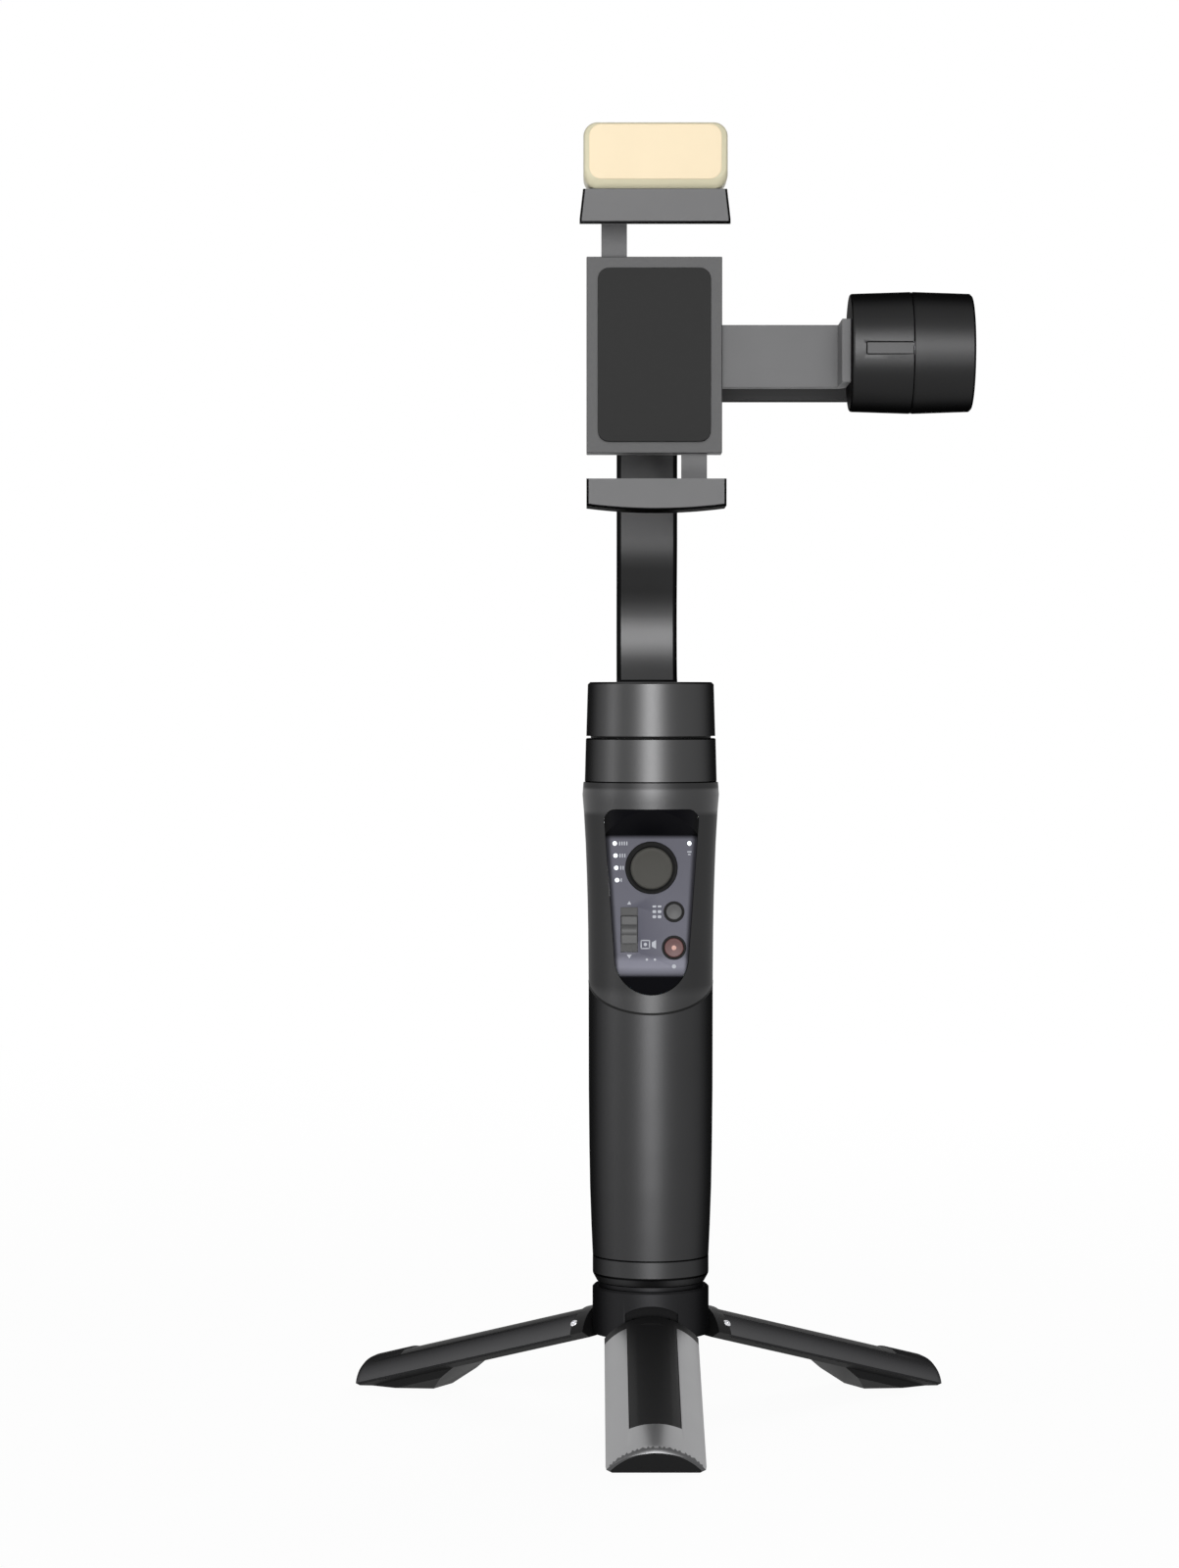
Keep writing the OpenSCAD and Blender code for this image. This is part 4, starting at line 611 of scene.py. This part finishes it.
def panel_marks():
    """Plain generic marks: charge ticks beside the lights, arrows, bars and dots by the keys."""
    bm = bmesh.new()

    def ink(outline):
        plate(bm, outline, PLATE_Y - INK, PLATE_Y + INK)

    def bar(x, z, width, height):
        corner = min(width, height) * 0.3
        ink(rounded_rectangle(x - width / 2, x + width / 2, z - height / 2, z + height / 2,
                              corner, 2))

    def dot(x, z, radius, sides=16):
        ink([(x + radius * math.cos(a), z + radius * math.sin(a))
             for a in [2 * math.pi * k / sides for k in range(sides)]])

    # One tick for each quarter of the charge, beside the four battery lights
    for row, x in enumerate((-8.3, -8.2, -8.0, -7.9)):
        for tick in range(4 - row):
            bar(x + 0.62 * tick, 150.4 - 3.2 * row, 0.3, 1.0)
    # Two bars under the mode light
    bar(9.9, 148.2, 1.1, 0.3)
    bar(9.9, 147.5, 0.7, 0.3)
    # Arrows above and below the zoom slider
    ink([(ZOOM_X - 0.55, 134.4), (ZOOM_X + 0.55, 134.4), (ZOOM_X, 135.3)])
    ink([(ZOOM_X + 0.65, 121.3), (ZOOM_X - 0.65, 121.3), (ZOOM_X, 120.3)])
    # Two columns of short bars beside the mode key
    for column in range(2):
        for row in range(3):
            bar(0.75 + 1.35 * column, 133.9 - 1.35 * row, 0.95, 0.75 if row else 0.5)
    # A square with a wedge and a dot beside the record key
    for spot in ((-1.6, 125.0, 2.4, 0.28), (-1.6, 122.9, 2.4, 0.28), (-2.7, 123.95, 0.28, 2.2),
                 (-0.5, 123.95, 0.28, 2.2)):
        bar(*spot)
    ink([(0.1, 123.4), (1.2, 122.8), (1.2, 125.1), (0.1, 124.5)])
    dot(-1.6, 123.95, 0.45)
    # Dots at the plate's lower end
    dot(-1.2, 120.0, 0.32)
    dot(0.9, 120.0, 0.32)
    dot(BUTTON_X, 118.2, 0.55)
    piece("panel_marks", bm, "handle", "ink")


def handle_details():
    seam_line()
    stick_boot()
    joystick()
    button("mode_key", "mode", "button_plastic", z=MODE_Z, radius=2.12, node="mode_button")
    button("record_key", "record", "record_plastic", z=RECORD_Z, radius=2.52,
           node="record_button")
    bezel("mode_bezel", z=MODE_Z, inner=2.15, outer=2.75)
    bezel("record_bezel", z=RECORD_Z, inner=2.55, outer=3.2)
    record_dot()
    zoom_shutter()
    panel_marks()


# Motors: the height of the roll and tilt axes, the radii of the rings in the gaps, and where
# each ring starts and ends along its own axis

AXIS_Z = 279.4
GAP_CLOSER_RADII = (13.0, 15.9)
PAN_GAP_SPAN = (177.85, 178.35)
ROLL_GAP_SPAN = (-64.45, -63.95)
TILT_GAP_SPAN = (68.5, 68.88)


def gap_closer(name, body, place, span, finish="black_rubber"):
    """Ring that closes the gap between a motor's two halves; a black one is painted shade in the
    gap.
    """
    bm = bmesh.new()
    inner, outer = GAP_CLOSER_RADII
    low, high = span
    profile = [(inner, low), (outer, low), (outer - 0.04, (low + high) / 2), (outer, high),
               (inner, high)]
    revolve(bm, profile, place)
    piece(name, bm, body, finish)


def motor_details():
    sideways = Matrix.Translation((0, 0, AXIS_Z * MM)) @ Matrix.Rotation(math.radians(90), 4, "Y")
    # The black rings at the pan and roll gaps are painted shade; the tilt ring takes the arm's
    # finish
    gap_closer("pan_gap_ring", "handle", Matrix.Identity(4), PAN_GAP_SPAN)
    gap_closer("roll_gap_ring", "pan_frame", toward_user(0, AXIS_Z), ROLL_GAP_SPAN)
    gap_closer("tilt_gap_ring", "roll_frame", sideways, TILT_GAP_SPAN, "arm_metal")


# Fill light: its body and its lit face, from side to side and from foot to top, with the radius
# of their corners; the body's front and back; how much a corner tightens with each millimetre
# of inset, and its steps; and the angle from which its edges are sharp

LAMP_X = (-17.8, 20.0)
LAMP_Z = (321.8, 339.0)
LAMP_Y = (-9.0, 5.0)
LAMP_CORNER = 3.6
FACE_X = (-16.3, 18.4)
FACE_Z = (324.0, 338.4)
FACE_CORNER = 3.2
CORNER_TIGHTENS = 0.6
CORNER_STEPS = 10
LAMP_SHARP = 60


def lamp_ring(x_span, z_span, corner, y, inset, lift=0.0):
    """One ring of a rounded box; the inset shrinks it, and the lift draws its underside in."""
    outline = rounded_rectangle(x_span[0] + inset, x_span[1] - inset, z_span[0] + inset + lift,
                                z_span[1] - inset, corner - inset * CORNER_TIGHTENS,
                                CORNER_STEPS)
    return [(x, y, z) for x, z in outline]


def fill_light():
    front, back = LAMP_Y
    bm = bmesh.new()
    shell = ((back, 1.5), (back - 0.15, 0.75), (back - 0.75, 0.15), (back - 1.5, 0),
             (front + 3.4, 0), (front + 2.2, 0, 0.15), (front + 1.1, 0.12, 0.9),
             (front + 0.45, 0.3, 1.7), (front + 0.15, 0.6, 2.0))
    loft(bm, [lamp_ring(LAMP_X, LAMP_Z, LAMP_CORNER, *ring) for ring in shell])
    piece("lamp_body", bm, "upper_jaw_slide", "light_plastic",
          ("light_housing",), angle=LAMP_SHARP)
    bm = bmesh.new()
    face = ((front + 0.4, 0), (front + 0.1, 0.02), (front + 0.03, 0.12), (front, 0.4),
            (front, 1.2))
    loft(bm, [lamp_ring(FACE_X, FACE_Z, FACE_CORNER, *ring) for ring in face])
    piece("lamp_face", bm, "upper_jaw_slide", "diffuser", ("light_diffuser",),
          angle=LAMP_SHARP)


# Tripod: the legs' slope in degrees, the hinge pins' distance from the axis and height, the
# legs' outer radius and length, and how far past that length the front leg's dark tip begins

LEG_SLOPE = 15.5
PIN_OUT = 9.0
PIN_Z = 21.73
LEG_R = 15.5
LEG_LEN = 78.0
TIP_MARGIN = 1.2

# The side legs' directions, and the screw heads at their roots: the distance from the pin, and
# the turn from the leg's crest to each side. The turns are in degrees.

SIDE_LEGS = (("left", 150), ("right", 30))
SCREW_ALONG = 8.3
SCREW_TURN = 39


def leg_place(angle, along, turn):
    """A place on a leg's outer arc, with Z outward.

    It is given by its distance from the pin and its turn from the crest.
    """
    fold = Matrix.Translation(Vector((PIN_OUT, 0, PIN_Z)) * MM) \
        @ Matrix.Rotation(math.radians(LEG_SLOPE - 90), 4, "Y") \
        @ Matrix.Translation(Vector((-PIN_OUT, 0, 0)) * MM)
    on_arc = Matrix.Rotation(math.radians(turn), 4, "Z") \
        @ Matrix.Translation(Vector((LEG_R, 0, -along)) * MM) \
        @ Matrix.Rotation(math.radians(90), 4, "Y")
    return Matrix.Rotation(math.radians(angle), 4, "Z") @ fold @ on_arc


def leg_screws():
    """Bright screw heads at the root of the side legs' shells."""
    profile = [(0, -0.6), (1.05, -0.6), (1.05, 0.12), (0.85, 0.3), (0.45, 0.36), (0.4, 0.1),
               (0, 0.1)]
    for side, angle in SIDE_LEGS:
        bm = bmesh.new()
        for turn in (-SCREW_TURN, SCREW_TURN):
            revolve(bm, profile, leg_place(angle, SCREW_ALONG, turn), 24)
        piece("leg_%s_screws" % side, bm, "leg_" + side, "steel")


# Places in the CAD that tell which faces get painted shade and which edges are round. NEAR is how
# close a point has to lie to a plane. The arm is cut above its lean and below the roll motor.

NEAR = 0.05
HUB_HOLLOW_R = 14.9
HUB_HOLLOW_Z = (20.6, 30.5)
JAW_FRONT_Y = -6.4
JAW_TOPS = (246.0, 321.8)
LOWER_JAW_LOW_Z = 241.5
ARM_HALF = 8.5
ARM_BACK_Y = 18
ARM_CUTS = (234.2, 262)


def in_hub_hollow(centre):
    """The faces inside the hub's slots and pockets, which get painted shade."""
    low, high = HUB_HOLLOW_Z
    return math.hypot(centre.x, centre.y) < HUB_HOLLOW_R and low < centre.z < high


def on_front_tip(centre):
    """The faces past the front leg's straight part."""
    slope = math.radians(LEG_SLOPE)
    along = (-centre.y - PIN_OUT) * math.cos(slope) + (PIN_Z - centre.z) * math.sin(slope)
    return along > LEG_LEN + TIP_MARGIN


def under_lower_jaw(centre):
    """The lower jaw's underside, without its front face, which gets painted shade."""
    return centre.z < LOWER_JAW_LOW_Z and centre.y > JAW_FRONT_Y + 2 * NEAR


def on_arm_side(ends):
    """The edges of the pan arm's two side faces, behind the rotor and up to the upper cut."""
    return all(abs(abs(end.x) - ARM_HALF) < NEAR and end.y > ARM_BACK_Y and end.z < ARM_CUTS[1]
               for end in ends)


def on_jaw_front(ends):
    """The front edges, apart from the top one."""
    return all(end.y < JAW_FRONT_Y + NEAR for end in ends) \
        and not any(all(abs(end.z - top) < NEAR for end in ends) for top in JAW_TOPS)


def dress():
    """Gives every node its finish, and the ones that show a finer form of themselves."""
    for name, obj in nodes.items():
        obj.data.materials.clear()
        obj.data.materials.append(FINISHES[SLOTS[name]])
    # The steel ring under the joystick's cap gets near-black painted shade under the cap
    nodes["joystick_ring"].data.materials[0] = FINISHES["painted_shade"]
    # Painted shade along the rounded edges of these shells
    for node in ("handle_rear_shell", "grip_front_shell", "control_cover", "bottom_cap",
                 "pan_motor_housing"):
        refined(node, edge=0.32, edge_finish="painted_shade")
    refined("control_panel", edge=0.1)
    # Painted shade along the hub's rounded edges and in its slots and pockets
    refined("tripod_hub", edge=0.2, finish="hub_plastic", edge_finish="painted_shade",
            dark=in_hub_hollow)
    # Painted shade along the rounded edges of the pan arm and the roll arm
    refined("pan_arm", edge=1.2, edge_finish="painted_shade", rounded=on_arm_side, cuts=ARM_CUTS)
    refined("pan_arm_cover", edge=0.2)
    refined("roll_arm", edge=0.5, edge_finish="painted_shade")
    refined("tilt_rotor", edge=0.25)
    for node in ("roll_motor_cover", "tilt_motor_cover", "roll_arm_cover", "clamp_bracket",
                 "clamp_cover", "clamp_pad", "upper_jaw_pad", "lower_jaw_pad", "zoom_slider",
                 "usb_socket"):
        refined(node, edge=0.2)
    refined("clamp_body", edge=0.5)
    # Painted shade along the jaws' rounded front edges, and on the lower jaw's underside
    refined("upper_jaw", edge=0.6, edge_finish="painted_shade", rounded=on_jaw_front)
    refined("lower_jaw", edge=0.6, edge_finish="painted_shade", dark=under_lower_jaw,
            rounded=on_jaw_front)
    refined("leg_front_shell", edge=0.2, finish="leg_metal", edge_finish="tip_metal",
            dark=on_front_tip)
    # The side legs' shells take the darker copy of the leg metal, as painted shade
    for side in ("left", "right"):
        refined("leg_%s_shell" % side, edge=0.2, finish="leg_shaded_metal")
    for side in ("front", "left", "right"):
        refined("leg_%s_core" % side, edge=0.25)


make_camera()
make_world()
make_floor()
light_scene()
dress()
handle_details()
motor_details()
fill_light()
leg_screws()
